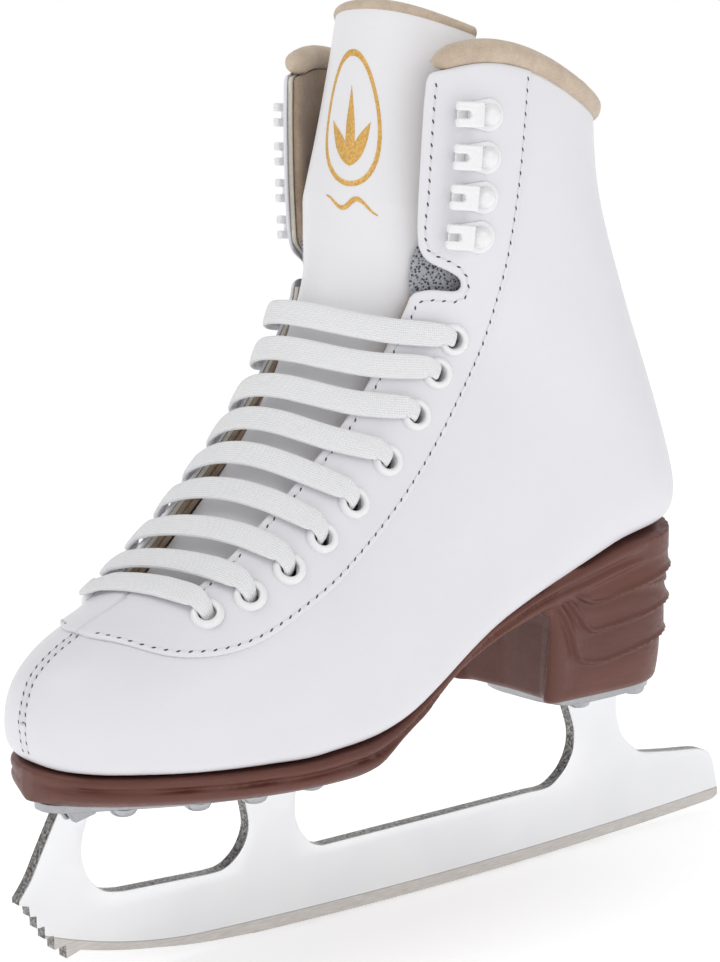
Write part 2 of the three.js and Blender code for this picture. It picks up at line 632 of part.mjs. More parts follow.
function gusset(side) {
  return panel({
    rows: [NOTCH - 0.35, NOTCH + 0.1, NOTCH + 0.6], d0: 35, d1: 49, out: -3.2, inn: -3.9, cols: 2, side,
  });
}

const liningFront = (s) => {
  if (s < THROAT) return SEAM;
  return lerp(facingEdge(s) + lerp(17, 21, smooth((s - 6) / 2)), foldLine(13) + 1.5, smooth((s - 11) / 0.8));
};

// The lining runs under the foot and round the heel from one facing to the other.
function lining() {
  const start = 1.6;
  const rows = [start, 2.2, 3.2, 4.2, 5.1, 5.3, 5.6, 6.4, 7.2, 8, 8.8, 9.6, 10.2, 10.8, 11.4, 11.8, 12.8, 13.8, 14.9];
  const cols = 18;
  const grid = (off) => rows.map((s) => Array.from({ length: cols + 1 }, (_, j) => {
    const front = liningFront(s);
    const round = lerp(front, 2 * halfGirth(s) - front, j / cols);
    const half = halfGirth(s);
    return round <= half ? upper(s, round, off) : upper(s, round - 2 * half, off);
  }));
  return sheetSolid(grid(LINING_LAYER[0]), grid(LINING_LAYER[1]));
}

// A panel centred on the sole's or the heel's middle line, `reach` millimetres to each side.
function underPanel({ rows, reach, layer, cols }) {
  const grid = (off) => rows.map((s) => Array.from({ length: cols + 1 }, (_, j) => {
    const e = lerp(-reach(s), reach(s), j / cols);
    return upper(s, Math.sign(e || 1) * (halfGirth(s) - Math.abs(e)), off);
  }));
  return sheetSolid(grid(layer[0]), grid(layer[1]));
}

// The tongue follows the last, then leans back into the boot towards its top.
const tongueFace = (s) => -4.9 - 3 * Math.max(0, s - 12.6);
function tonguePanel(rows, cols) {
  return panel({
    rows, d0: (s) => -tongueReach(s), d1: tongueReach,
    out: tongueFace, inn: (s) => tongueFace(s) - TONGUE_THICK, cols,
  });
}
const tongueReach = (s) => (s < FLEX ? facingEdge(s) + 9 : lerp(40, 55, smooth((s - FLEX) / 2.6)));

// A padded roll along the collar's edge between two distances round the section.
function collarRoll(from, to, count, side) {
  const rings = Array.from({ length: count + 1 }, (_, k) => {
    const d = lerp(from, to, k / count);
    const end = Math.min(1, 0.55 + 4 * Math.min(k, count - k) / count);
    const round = Math.min(d, 2 * halfGirth(TOP) - d);
    const s = collarEdge(round);
    const signed = (d <= halfGirth(TOP) ? 1 : -1) * side * round;
    const out = normal(s, signed);
    const up = surface(s + 0.02, signed).sub(surface(s - 0.02, signed)).normalize();
    const centre = upper(s, signed, -1.6).addScaledVector(up, 3.3);
    return Array.from({ length: 8 }, (_, m) => {
      const a = (2 * Math.PI * m) / 8;
      return centre.clone().addScaledVector(out, 3.4 * end * Math.cos(a)).addScaledVector(up, 3 * end * Math.sin(a));
    });
  });
  return loft(rings);
}

// ---------------------------------------------------------------- assembly
const group = new THREE.Group();
group.name = 'figure_skate';

function add(name, geometry, mat) {
  const mesh = new THREE.Mesh(geometry, mat);
  mesh.name = name;
  group.add(mesh);
}

add('blade', slabX(bladeShape(), BLADE), STEEL);
add('sole_plate', solePlate(), STEEL);
add('heel_plate', heelPlate(), STEEL);
soleScrews().forEach((at, k) => add(`sole_screw_${k + 1}`, screw(at), STEEL));
heelScrews().forEach((at, k) => add(`heel_screw_${k + 1}`, screw(at), STEEL));
add('outsole', outsole(), SOLE);

for (const [word, side] of [['lateral', 1], ['medial', -1]]) {
  add(`${word}_quarter`, quarter(side), LEATHER);
  add(`${word}_facing`, facing(side), LEATHER);
  add(`${word}_flap`, hookFlap(side), LEATHER);
  add(`${word}_flap_pad`, collarRoll(34.5, foldLine(TOP) - 0.9, 6, side), SUEDE);
  add(`${word}_gusset`, gusset(side), MESH);
  for (let i = 0; i < EYELETS; i += 1) add(`${word}_eyelet_${i + 1}`, eyelet(i, side), ENAMEL);
  for (let i = 0; i < HOOKS; i += 1) add(`${word}_hook_${i + 1}`, hook(i, side), ENAMEL);
}

add('lining', lining(), LINING);
add('footbed', underPanel({
  rows: [3.2, 4.2, 5.1, 6.4, 7.2, 8, 8.8, 9.6, 10.2], reach: (s) => lerp(11, 21, smooth((s - 3.4) / 3)), layer: FOOTBED, cols: 4,
}), LINING);
add('back_stay', underPanel({
  rows: [NOTCH + 0.15, 12.4, 13.4, 14.2, TOP - 0.05], reach: () => 9, layer: [1.8, 0.8], cols: 4,
}), LEATHER);
add('collar_pad', collarRoll(foldLine(TOP) + 0.9, 2 * halfGirth(TOP) - foldLine(TOP) - 0.9, 20, 1), SUEDE);
add('tongue_lower', tonguePanel(even(THROAT + 0.15, FLEX - 0.05, 8), 8), LEATHER);
add('tongue_upper', tonguePanel(even(FLEX + 0.05, 15.65, 7), 10), LEATHER);
add('lace', lace(), LACE);

export default group;
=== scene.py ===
"""A figure skate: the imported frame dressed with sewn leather, suede, lace, enamel, moulded sole and steel."""
import math

import bpy
import numpy as np
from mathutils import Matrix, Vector
from mathutils.geometry import delaunay_2d_cdt


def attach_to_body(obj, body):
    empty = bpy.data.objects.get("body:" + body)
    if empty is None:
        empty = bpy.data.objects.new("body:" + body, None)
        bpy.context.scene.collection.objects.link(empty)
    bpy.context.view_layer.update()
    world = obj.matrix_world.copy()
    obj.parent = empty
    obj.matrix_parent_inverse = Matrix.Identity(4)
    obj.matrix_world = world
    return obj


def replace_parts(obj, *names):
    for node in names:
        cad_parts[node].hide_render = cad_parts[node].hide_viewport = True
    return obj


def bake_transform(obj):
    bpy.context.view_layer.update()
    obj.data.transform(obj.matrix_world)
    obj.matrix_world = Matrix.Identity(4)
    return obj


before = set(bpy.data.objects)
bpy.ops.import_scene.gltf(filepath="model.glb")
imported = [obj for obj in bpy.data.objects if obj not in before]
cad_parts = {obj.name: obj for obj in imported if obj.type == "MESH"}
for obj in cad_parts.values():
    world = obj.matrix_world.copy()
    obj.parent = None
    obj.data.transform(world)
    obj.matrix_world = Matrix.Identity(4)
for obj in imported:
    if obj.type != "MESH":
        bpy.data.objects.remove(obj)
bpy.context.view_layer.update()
MM = 0.001
SIDES = (("lateral", 1), ("medial", -1))

# ---------------------------------------------------------------- camera, floor and light
CAMERA_AT = (0.47443, -0.42359, 0.21783)
CAMERA_AZIMUTH, CAMERA_DOWN = 50.35, 8.96
CAMERA_LENS = 85.42
BACKDROP = (-0.77, 0.638, 0.0)        # direction of the white backdrop behind the boot
SKY_GREY = 0.66                      # brightness of the rest of the room


def add_camera():
    data = bpy.data.cameras.new("camera")
    data.lens, data.sensor_width = CAMERA_LENS, 36
    data.clip_start, data.clip_end = 0.01, 50
    cam = bpy.data.objects.new("camera", data)
    cam.location = CAMERA_AT
    cam.rotation_euler = (math.radians(90 - CAMERA_DOWN), 0, math.radians(CAMERA_AZIMUTH))
    bpy.context.scene.collection.objects.link(cam)
    bpy.context.scene.camera = cam


def add_area(name, at, towards, size, power):
    data = bpy.data.lights.new(name, "AREA")
    data.shape, data.size, data.energy = "DISK", size, power
    lamp = bpy.data.objects.new(name, data)
    lamp.location = at
    lamp.rotation_euler = (Vector(towards) - Vector(at)).to_track_quat("-Z", "Y").to_euler()
    bpy.context.scene.collection.objects.link(lamp)


def add_stage():
    world = bpy.data.worlds.new("studio")
    bpy.context.scene.world = world
    world.use_nodes = True
    tree = world.node_tree
    place = tree.nodes.new("ShaderNodeTexCoord")
    facing = tree.nodes.new("ShaderNodeVectorMath")
    facing.operation = "DOT_PRODUCT"
    facing.inputs[1].default_value = BACKDROP
    shade = tree.nodes.new("ShaderNodeMapRange")
    for socket, value in (("From Min", 0.72), ("From Max", 0.9), ("To Min", SKY_GREY), ("To Max", 1.0)):
        shade.inputs[socket].default_value = value
    tree.links.new(place.outputs["Generated"], facing.inputs[0])
    tree.links.new(facing.outputs["Value"], shade.inputs[0])
    tree.links.new(shade.outputs[0], tree.nodes["Background"].inputs["Strength"])
    tree.nodes["Background"].inputs["Color"].default_value = (1, 1, 1, 1)
    add_area("key", (-0.35, -1.0, 1.3), (0, -0.02, 0.1), 0.9, 4)
    add_area("fill", (1.3, -0.1, 0.7), (0, 0, 0.12), 1.0, 3)
    bpy.ops.mesh.primitive_plane_add(size=30, location=(0, 0, -0.0006))
    floor = bpy.context.object
    floor.name = "floor"
    mat = new_material("floor", (0.9, 0.9, 0.905), roughness=0.9)
    shader(mat).inputs["Emission Color"].default_value = (1, 1, 1, 1)
    shader(mat).inputs["Emission Strength"].default_value = 0.42
    floor.data.materials.append(mat)
    bpy.context.scene.view_settings.view_transform = "Standard"


# ---------------------------------------------------------------- material helpers
def shader(mat):
    return mat.node_tree.nodes["Principled BSDF"]


def new_material(name, colour, roughness=0.5, metallic=0.0, specular=0.5, **sockets):
    mat = bpy.data.materials.new(name)
    mat.use_nodes = True
    s = shader(mat)
    s.inputs["Base Color"].default_value = (*colour, 1)
    s.inputs["Roughness"].default_value = roughness
    s.inputs["Metallic"].default_value = metallic
    s.inputs["Specular IOR Level"].default_value = specular
    for key, value in sockets.items():
        s.inputs[key.replace("_", " ")].default_value = value
    return mat


class Nodes:
    """Short names for the nodes of one material."""

    def __init__(self, mat):
        self.tree = mat.node_tree
        self.out = shader(mat)

    def make(self, kind, **inputs):
        node = self.tree.nodes.new("ShaderNode" + kind)
        for key, value in inputs.items():
            self.feed(node.inputs[key.replace("_", " ")], value)
        return node

    def feed(self, socket, value):
        if isinstance(value, bpy.types.NodeSocket):
            self.tree.links.new(value, socket)
        else:
            socket.default_value = value

    def object_space(self, stretch=(1, 1, 1)):
        place = self.make("TexCoord").outputs["Object"]
        return self.make("Mapping", Vector=place, Scale=stretch).outputs["Vector"]

    def noise(self, scale, detail=2.0, roughness=0.5, vector=None):
        vector = vector or self.object_space()
        return self.make("TexNoise", Vector=vector, Scale=scale, Detail=detail,
                         Roughness=roughness).outputs["Fac"]

    def cells(self, scale):
        return self.make("TexVoronoi", Vector=self.object_space(), Scale=scale).outputs["Distance"]

    def math(self, kind, a, b=0.0):
        node = self.tree.nodes.new("ShaderNodeMath")
        node.operation = kind
        self.feed(node.inputs[0], a)
        self.feed(node.inputs[1], b)
        return node.outputs[0]

    def span(self, value, low, high, to_low=0.0, to_high=1.0):
        node = self.make("MapRange")
        for k, v in enumerate((value, low, high, to_low, to_high)):
            self.feed(node.inputs[k], v)
        return node.outputs[0]

    def spread(self, noise, to_low=0.0, to_high=1.0):
        """The middle of a noise's range, stretched over the range asked for."""
        return self.span(noise, 0.3, 0.7, to_low, to_high)

    def mix(self, factor, a, b):
        node = self.tree.nodes.new("ShaderNodeMix")
        node.data_type = "RGBA"
        self.feed(node.inputs[0], factor)
        for k, v in ((6, a), (7, b)):
            self.feed(node.inputs[k], v if isinstance(v, bpy.types.NodeSocket) else (*v, 1))
        return node.outputs[2]

    def bump(self, height, distance, strength=1.0, then=None):
        node = self.make("Bump", Height=height, Distance=distance, Strength=strength)
        if then is not None:
            self.feed(node.inputs["Normal"], then)
        return node.outputs["Normal"]

    def axes(self, vector=None):
        place = vector or self.make("TexCoord").outputs["Object"]
        return self.make("SeparateXYZ", Vector=place).outputs

    def base(self, factor, a, b):
        self.feed(self.out.inputs["Base Color"], self.mix(factor, a, b))

    def rough(self, value):
        self.feed(self.out.inputs["Roughness"], value)

    def relief(self, normal):
        self.feed(self.out.inputs["Normal"], normal)


def dim(colour, share):
    return tuple(min(1, c * share) for c in colour)


def leather(name, colour=(0.765, 0.757, 0.79), wrinkle=0.0):
    """Smooth finished leather: fine pores, faint mottling and, on the tongue, crosswise creases."""
    mat = new_material(name, colour, 0.44, specular=0.42, Coat_Weight=0.12, Coat_Roughness=0.28)
    n = Nodes(mat)
    mottle = n.noise(60, 4)
    n.base(n.spread(mottle), dim(colour, 0.985), colour)
    n.rough(n.spread(n.noise(400, 3), 0.38, 0.52))
    pores = n.bump(n.cells(1500), 0.00005, 0.35)
    grain = n.bump(n.noise(700, 4), 0.00006, 0.4, pores)
    if wrinkle:
        creases = n.noise(260, 4, 0.6, n.object_space((0.12, 0.5, 1.6)))
        grain = n.bump(creases, 0.0003, wrinkle, grain)
    else:
        grain = n.bump(n.noise(28, 3), 0.0016, 0.10, grain)
    n.relief(grain)
    return mat


def suede(name, colour, dark):
    """Brushed pile: short soft fibres, patchy where the nap lies over."""
    mat = new_material(name, colour, 0.95, specular=0.1, Sheen_Weight=0.45, Sheen_Roughness=0.5)
    shader(mat).inputs["Sheen Tint"].default_value = (1, 0.95, 0.88, 1)
    n = Nodes(mat)
    nap = n.noise(140, 5, 0.65)
    fibre = n.noise(2600, 3, 0.7)
    shade = n.math("ADD", n.math("MULTIPLY", nap, 0.55), n.math("MULTIPLY", fibre, 0.45))
    n.base(n.span(shade, 0.36, 0.64), dark, colour)
    n.relief(n.bump(fibre, 0.00035, 0.7, n.bump(nap, 0.0008, 0.3)))
    return mat


def flat_coordinates(n):
    """Millimetres across and along a strip, from the piece's own map."""
    node = n.tree.nodes.new("ShaderNodeUVMap")
    node.uv_map = "strip"
    return n.axes(node.outputs["UV"])


RIB_PITCH, PICK_PITCH = 0.62, 0.55   # of the lace, in millimetres


def woven(name, colour=(0.90, 0.90, 0.915)):
    """Flat lace: fine ribs along it, crossed by picks, with a firmer edge."""
    mat = new_material(name, colour, 0.85, specular=0.2, Sheen_Weight=0.2, Sheen_Roughness=0.4)
    n = Nodes(mat)
    across, along, _ = flat_coordinates(n)
    rib = n.math("SINE", n.math("MULTIPLY", across, 2 * math.pi / RIB_PITCH))
    wavy = n.math("ADD", along, n.math("MULTIPLY", rib, 0.16))
    pick = n.math("SINE", n.math("MULTIPLY", wavy, 2 * math.pi / PICK_PITCH))
    weave = n.math("ADD", n.math("MULTIPLY", rib, 0.65), n.math("MULTIPLY", pick, 0.35))
    # Painted shade: the colour is a tenth darker in the hollows of the weave.
    n.base(n.span(weave, -0.9, 0.5), dim(colour, 0.9), colour)
    n.relief(n.bump(weave, 0.00016, 0.75))
    return mat


def enamel(name, colour=(0.83, 0.83, 0.84)):
    mat = new_material(name, colour, 0.22, specular=0.5, Coat_Weight=0.6, Coat_Roughness=0.12)
    n = Nodes(mat)
    n.rough(n.spread(n.noise(300, 3), 0.2, 0.32))
    n.relief(n.bump(n.noise(500, 2), 0.00005, 0.4))
    return mat


def moulded(name):
    """Brown moulded sole: semi-matt, with faint flow marks and scuffs."""
    brown, deep = (0.140, 0.044, 0.030), (0.10, 0.031, 0.021)
    mat = new_material(name, brown, 0.42, specular=0.42)
    n = Nodes(mat)
    flow = n.noise(45, 5, 0.6, n.object_space((1, 0.35, 1.2)))
    scuff = n.noise(900, 3, 0.7, n.object_space((1, 0.12, 1)))
    n.base(n.spread(flow), deep, brown)
    n.rough(n.spread(scuff, 0.34, 0.52))
    n.relief(n.bump(n.noise(1400, 3), 0.00008, 0.4, n.bump(flow, 0.0006, 0.15)))
    return mat


def mesh_fabric(name):
    """Grey open mesh: bright threads round circular openings, which are painted near black as the shade seen
    through them.
    """
    mat = new_material(name, (0.35, 0.36, 0.38), 0.8, specular=0.3, Sheen_Weight=0.2)
    n = Nodes(mat)
    holes = n.cells(1250)
    # painted shade: the openings are coloured near black
    n.base(n.span(holes, 0.28, 0.5), (0.05, 0.05, 0.06), (0.42, 0.43, 0.47))
    n.relief(n.bump(holes, 0.0005, 0.9))
    return mat


def plain(name, colour, roughness=0.8, grain=900, depth=0.0001):
    mat = new_material(name, colour, roughness, specular=0.3)
    n = Nodes(mat)
    spots = n.noise(grain, 3)
    n.base(n.spread(spots), dim(colour, 0.86), colour)
    n.relief(n.bump(spots, depth, 0.6))
    return mat


GROUND_EDGE = 0.0036                # height of the ground strip above the running edge
ROCKER = 2134                        # radius of the running edge, in millimetres
SPIN_START, SPIN_RISE = 0.085, 3.2   # the running edge curves up faster from here to the toe picks


def chrome(name):
    """Polished plate over the blade's sides, down to the line where grinding has bared the steel."""
    mat = new_material(name, (0.86, 0.865, 0.88), 0.16, metallic=1.0)
    n = Nodes(mat)
    _, y, z = n.axes()
    rocker = n.math("MULTIPLY", n.math("MULTIPLY", y, y), 1 / (2 * ROCKER * MM))
    toe = n.math("MAXIMUM", n.math("SUBTRACT", n.math("MULTIPLY", y, -1), SPIN_START), 0)
    climb = n.math("MULTIPLY", n.math("MULTIPLY", toe, toe), SPIN_RISE)
    height = n.math("SUBTRACT", z, n.math("ADD", rocker, climb))
    ground = n.span(height, GROUND_EDGE - 0.00008, GROUND_EDGE + 0.00008, 1, 0)
    line = n.math("LESS_THAN", n.math("ABSOLUTE", n.math("SUBTRACT", height, GROUND_EDGE)), 0.00016)
    hair = n.noise(900, 4, 0.7, n.object_space((1, 0.25, 3)))
    haze = n.noise(30, 3)
    bare = n.mix(n.spread(hair), (0.52, 0.49, 0.46), (0.66, 0.63, 0.60))
    bright = n.mix(n.spread(haze), (0.76, 0.765, 0.78), (0.81, 0.815, 0.825))
    sides = n.mix(ground, bright, bare)
    n.base(line, sides, (0.42, 0.41, 0.40))
    polish = n.spread(n.noise(500, 3, 0.6, n.object_space((1, 0.2, 1))), 0.14, 0.22)
    n.rough(n.math("ADD", polish, n.math("MULTIPLY", ground, 0.3)))
    n.relief(n.bump(hair, 0.00005, 0.5))
    return mat


def cut_edge(name, colour=(0.16, 0.155, 0.15), roughness=0.34):
    """The stamped rim steel of the blade, coarse, with brighter flecks painted in as glints; its default colour
    is painted dark as the dark reflections the thin rim shows.
    """
    mat = new_material(name, colour, roughness, metallic=1.0)
    n = Nodes(mat)
    coarse = n.noise(1300, 4, 0.75)
    # painted glints: coarse noise lifts the colour into brighter flecks
    n.base(n.span(coarse, 0.42, 0.66), dim(colour, 0.45), dim(colour, 3.2))
    n.relief(n.bump(coarse, 0.0003, 0.8))
    return mat


def satin_steel(name, colour=(0.42, 0.425, 0.44), roughness=0.18):
    mat = new_material(name, colour, roughness, metallic=1.0)
    n = Nodes(mat)
    streak = n.noise(700, 3, 0.6, n.object_space((0.3, 1, 1)))
    n.base(n.spread(streak), dim(colour, 0.85), colour)
    n.rough(n.spread(streak, roughness, roughness + 0.12))
    return mat


def gilt(name):
    mat = new_material(name, (0.70, 0.42, 0.11), 0.38, metallic=0.35, specular=0.6)
    n = Nodes(mat)
    fleck = n.noise(1500, 3)
    n.base(n.span(fleck, 0.35, 0.65), (0.60, 0.33, 0.07), (0.78, 0.48, 0.14))
    n.relief(n.bump(fleck, 0.00006, 0.5))
    return mat


add_camera()
add_stage()

LEATHER = leather("leather_white")
TONGUE_LEATHER = leather("leather_tongue", (0.80, 0.792, 0.81), wrinkle=0.5)
EDGE = plain("leather_edge", (0.72, 0.68, 0.60), 0.85)
SUEDE = suede("suede_beige", (0.66, 0.545, 0.43), (0.47, 0.365, 0.275))
LINING = suede("lining_brown", (0.44, 0.33, 0.24), (0.28, 0.20, 0.145))
FELT = suede("felt_beige", (0.70, 0.62, 0.52), (0.56, 0.48, 0.39))
GAUZE = mesh_fabric("mesh_grey")
LACE = woven("lace_white")
ENAMEL = enamel("enamel_white")
THREAD = plain("thread_white", (0.80, 0.79, 0.80), 0.8, 2500, 0.0001)
# Painted shade: dark colour for the discs that stand in for the shade in needle holes.
NEEDLE_HOLE_SHADE = plain("needle_hole_painted_shade", (0.12, 0.11, 0.13), 0.9)
SOLE = moulded("sole_brown")
CHROME = chrome("blade_chrome")
# Painted dark reflection: the rim is coloured near black for the dark reflections it shows.
RIM_PAINTED_DARK = cut_edge("blade_rim_painted_dark")
BARE = cut_edge("blade_ground", (0.42, 0.40, 0.38), 0.4)
STEEL = satin_steel("plate_steel")
SCREW = satin_steel("screw_steel", (0.48, 0.49, 0.51), 0.12)
GILT = gilt("gilt_foil")
# Painted shade: near black, for the disc that stands in for the shade inside each eyelet.
EYELET_SHADE = plain("eyelet_painted_shade", (0.03, 0.028, 0.03), 0.9)

# ---------------------------------------------------------------- mesh helpers
def turns(count):
    """Angles round a full turn."""
    return 2 * math.pi * np.arange(count) / count


def unit(v):
    return v / np.maximum(np.linalg.norm(v, axis=-1, keepdims=True), 1e-9)


def piece(name, points, faces, material, indices=None):
    """A smooth mesh from points in millimetres; material is one, or several chosen per face by indices."""
    mesh = bpy.data.meshes.new(name)
    places = [tuple(float(c) * MM for c in p) for p in points]
    mesh.from_pydata(places, [], [tuple(map(int, f)) for f in faces])
    mesh.update()
    for mat in material if isinstance(material, (list, tuple)) else [material]:
        mesh.materials.append(mat)
    if indices is not None:
        mesh.polygons.foreach_set("material_index", np.asarray(indices, np.int32))
    mesh.polygons.foreach_set("use_smooth", np.ones(len(mesh.polygons), bool))
    obj = bpy.data.objects.new(name, mesh)
    bpy.context.scene.collection.objects.link(obj)
    return obj


def apply_modifiers(obj):
    bpy.context.view_layer.objects.active = obj
    for modifier in list(obj.modifiers):
        with bpy.context.temp_override(object=obj, active_object=obj):
            bpy.ops.object.modifier_apply(modifier=modifier.name)


def sharp_by_angle(obj, degrees):
    """Smooth shading that keeps edges sharper than this."""
    obj.data.set_sharp_from_angle(angle=math.radians(degrees))


def grid_faces(rows, cols, first=0, flip=False, wrap=False):
    faces = []
    for i in range(rows - 1):
        for j in range(cols if wrap else cols - 1):
            k = (j + 1) % cols
            a, b, c, d = i * cols + j, i * cols + k, (i + 1) * cols + k, (i + 1) * cols + j
            face = (a, d, c, b) if flip else (a, b, c, d)
            faces.append(tuple(first + v for v in face))
    return faces


def outward(points, faces):
    """The faces, turned if they enclose a negative volume."""
    p = np.asarray(points, float)
    volume = 0.0
    for f in faces:
        for k in range(1, len(f) - 1):
            volume += np.dot(p[f[0]], np.cross(p[f[k]], p[f[k + 1]]))
    return faces if volume > 0 else [tuple(reversed(f)) for f in faces]


def loft(name, rings, material):
    """A closed tube through equal rings of points."""
    rings = np.asarray(rings, float)
    rows, cols = rings.shape[:2]
    points = list(rings.reshape(-1, 3))
    faces = grid_faces(rows, cols, wrap=True)
    for row, flip in ((0, False), (rows - 1, True)):
        points.append(rings[row].mean(0))
        start = row * cols
        for j in range(cols):
            tri = (start + j, len(points) - 1, start + (j + 1) % cols)
            faces.append(tuple(reversed(tri)) if flip else tri)
    return piece(name, points, outward(points, faces), material)


def slab_sheet(name, outer, inner, material):
    """A closed sheet between two equal grids of points."""
    outer, inner = np.asarray(outer), np.asarray(inner)
    rows, cols = outer.shape[:2]
    points = np.concatenate([outer.reshape(-1, 3), inner.reshape(-1, 3)])
    n = rows * cols
    faces = grid_faces(rows, cols) + grid_faces(rows, cols, n, flip=True)
    for i in range(rows - 1):
        a, b = i * cols, (i + 1) * cols
        faces.append((a, b, n + b, n + a))
        a, b = a + cols - 1, b + cols - 1
        faces.append((a, n + a, n + b, b))
    for a in range(cols - 1):
        faces.append((a, n + a, n + a + 1, a + 1))
        b = (rows - 1) * cols + a
        faces.append((b, b + 1, n + b + 1, n + b))
    return piece(name, points, outward(points, faces), material)


def catmull(points, per):
    """A smooth curve through the points, per samples to each span."""
    p = np.asarray(points, float)
    last = len(p) - 1
    out = []
    for i in range(last):
        a, b, c, d = p[[min(max(i + k, 0), last) for k in (-1, 0, 1, 2)]]
        for t in np.arange(per) / per:
            out.append(b + 0.5 * t * (c - a) + t * t * (a - 2.5 * b + 2 * c - 0.5 * d)
                       + t**3 * (1.5 * (b - c) + 0.5 * (d - a)))
    out.append(p[-1])
    return np.array(out)


def smooth(t):
    c = np.clip(t, 0, 1)
    return c * c * (3 - 2 * c)


def lerp(a, b, t):
    return a + (b - a) * t


# ---------------------------------------------------------------- the last, the form that the upper lies on
# Its sections fan from the toe to the collar. A place on it is (s, d): s is the section, from 0, and d the
# millimetres round it from its front middle, negative on the medial side.
# One row is a section: y and z of its front middle, y and z of its back middle, half width, share of the
# height at which it is widest, and the exponents of its outline above and below that.
LAST = np.array([
    [-138.8, 71.4, -138.8, 70.6, 1, 0.45, 2, 2],
    [-138.0, 76, -138.0, 64, 7.9, 0.4, 2, 2],
    [-135.5, 82, -135.5, 60.4, 14, 0.35, 2.1, 3],
    [-130, 87, -130, 59.4, 20, 0.33, 2.1, 5.5],
    [-121, 92, -121, 59.2, 26.5, 0.3, 2.1, 8],
    [-107, 98.5, -107, 58.8, 32.5, 0.28, 2, 11],
    [-92.5, 109, -90, 58.4, 36.5, 0.27, 2.05, 12],
    [-78, 124, -70, 58.2, 38, 0.27, 2.05, 12],
    [-67, 139, -42, 62.3, 36.5, 0.3, 2.05, 11],
    [-59, 153.5, -4, 82.5, 34.5, 0.36, 2.05, 9],
    [-54, 167.5, 42, 97, 35, 0.42, 2.05, 5.5],
    [-50, 180, 76.4, 104, 36, 0.5, 2.05, 2.9],
    [-48, 192, 74.5, 131, 37.5, 0.55, 2.1, 2.1],
    [-46.5, 205, 59, 165, 38, 0.55, 2.15, 2.05],
    [-45.5, 219, 46.5, 194, 38.5, 0.53, 2.15, 2.05],
    [-45, 236, 43, 216, 38.5, 0.53, 2.15, 2.05],
    [-45, 253, 43, 233, 38.5, 0.53, 2.15, 2.05],
])
TOP = 15                            # the collar's section
RING = 140                          # steps round half a section
THROAT, FLEX = 5.2, 11.1             # sections where the facings part and where the tongue bends


def last_at(s):
    s = np.asarray(s, float)
    i = np.clip(np.floor(s).astype(int), 0, len(LAST) - 2)
    t = (s - i)[:, None]
    p0, p1, p2, p3 = (LAST[np.clip(i + k, 0, len(LAST) - 1)] for k in (-1, 0, 1, 2))
    m1, m2 = (p2 - p0) / 2, (p3 - p1) / 2
    return ((2 * t**3 - 3 * t**2 + 1) * p1 + (t**3 - 2 * t**2 + t) * m1
            + (3 * t**2 - 2 * t**3) * p2 + (t**3 - t**2) * m2)


def sections(s):
    row = last_at(s)
    fy, fz, by, bz, half, widest, up, down = row.T[:, :, None]
    height = np.hypot(fy - by, fz - bz)
    angle = np.linspace(0, math.pi, RING + 1)[None]
    above = angle <= math.pi / 2 + 1e-9
    power = 2 / np.where(above, up, down)
    x = half * np.clip(np.sin(angle), 0, 1) ** power
    rise = np.abs(np.cos(angle)) ** power * np.where(above, 1 - widest, -widest)
    h = widest + rise
    points = np.stack([x, by + (fy - by) * h, bz + (fz - bz) * h], axis=-1)
    steps = np.linalg.norm(np.diff(points, axis=1), axis=2)
    lengths = np.concatenate([np.zeros((len(points), 1)), np.cumsum(steps, axis=1)], axis=1)
    return points, lengths


def surface_block(s, d):
    points, lengths = sections(s)
    wanted = np.minimum(np.abs(d), lengths[:, -1])
    k = np.clip((lengths < wanted[:, None]).sum(1), 1, RING)
    n = np.arange(len(s))
    a, b = lengths[n, k - 1], lengths[n, k]
    t = ((wanted - a) / np.maximum(b - a, 1e-9))[:, None]
    p = points[n, k - 1] * (1 - t) + points[n, k] * t
    p[:, 0] *= np.where(d < 0, -1, 1)
    return p, lengths[:, -1]


def blocks(function, s, d):
    s, d = np.broadcast_arrays(np.asarray(s, float), np.asarray(d, float))
    flat_s, flat_d = s.ravel(), d.ravel()
    parts = [function(flat_s[k:k + 4000], flat_d[k:k + 4000]) for k in range(0, len(flat_s), 4000)]
    return np.concatenate(parts).reshape(s.shape + (3,))


def surface(s, d):
    return blocks(lambda a, b: surface_block(a, b)[0], s, d)


def half_girth(s):
    return sections(np.atleast_1d(np.asarray(s, float)))[1][:, -1]


def normal_block(s, d):
    half = half_girth(s)
    inside = np.clip(np.abs(d), 0.3, half - 0.3)
    share, step = inside / half, 0.02
    across = surface_block(s, inside + 0.3)[0] - surface_block(s, inside - 0.3)[0]
    along = (surface_block(s + step, share * half_girth(s + step))[0]
             - surface_block(s - step, share * half_girth(s - step))[0])
    n = np.cross(across, along)
    flat = (np.abs(d) < 0.2) | (np.abs(d) > half - 0.2)
    n[flat, 0] = 0
    n = unit(n)
    n[:, 0] *= np.where(d < 0, -1, 1)
    return n


def normal(s, d):
    return blocks(normal_block, s, d)


def upper(s, d, off):
    return surface(s, d) + normal(s, d) * np.asarray(off, float)[..., None]


def facing_edge(s):
    return lerp(0.4, 16.8 + 2.8 * (s - 5.7), smooth((s - THROAT) / 0.5))


# ---------------------------------------------------------------- seams of the upper, as (s, d)
STITCH = catmull([(3.97, 0), (4.0, 5.8), (4.55, 20.3), (5.26, 30.9), (5.97, 38.4), (6.68, 43.4),
                  (7.42, 47.0), (8.08, 48.6), (8.62, 49.4), (9.2, 50.4), (9.8, 51.9), (10.6, 53.9),
                  (11.57, 56.3), (12.5, 58.6), (13.4, 59.8), (14.4, 60.7), (15.25, 61.7)], 12)
SEAM_ALLOWANCE = 1.3                # leather beyond a row of stitches


def stitch_d(s):
    return np.interp(s, STITCH[:, 0], STITCH[:, 1])


def bump_at(d, centre, width):
    return np.exp(-(((d - centre) / width) ** 2))


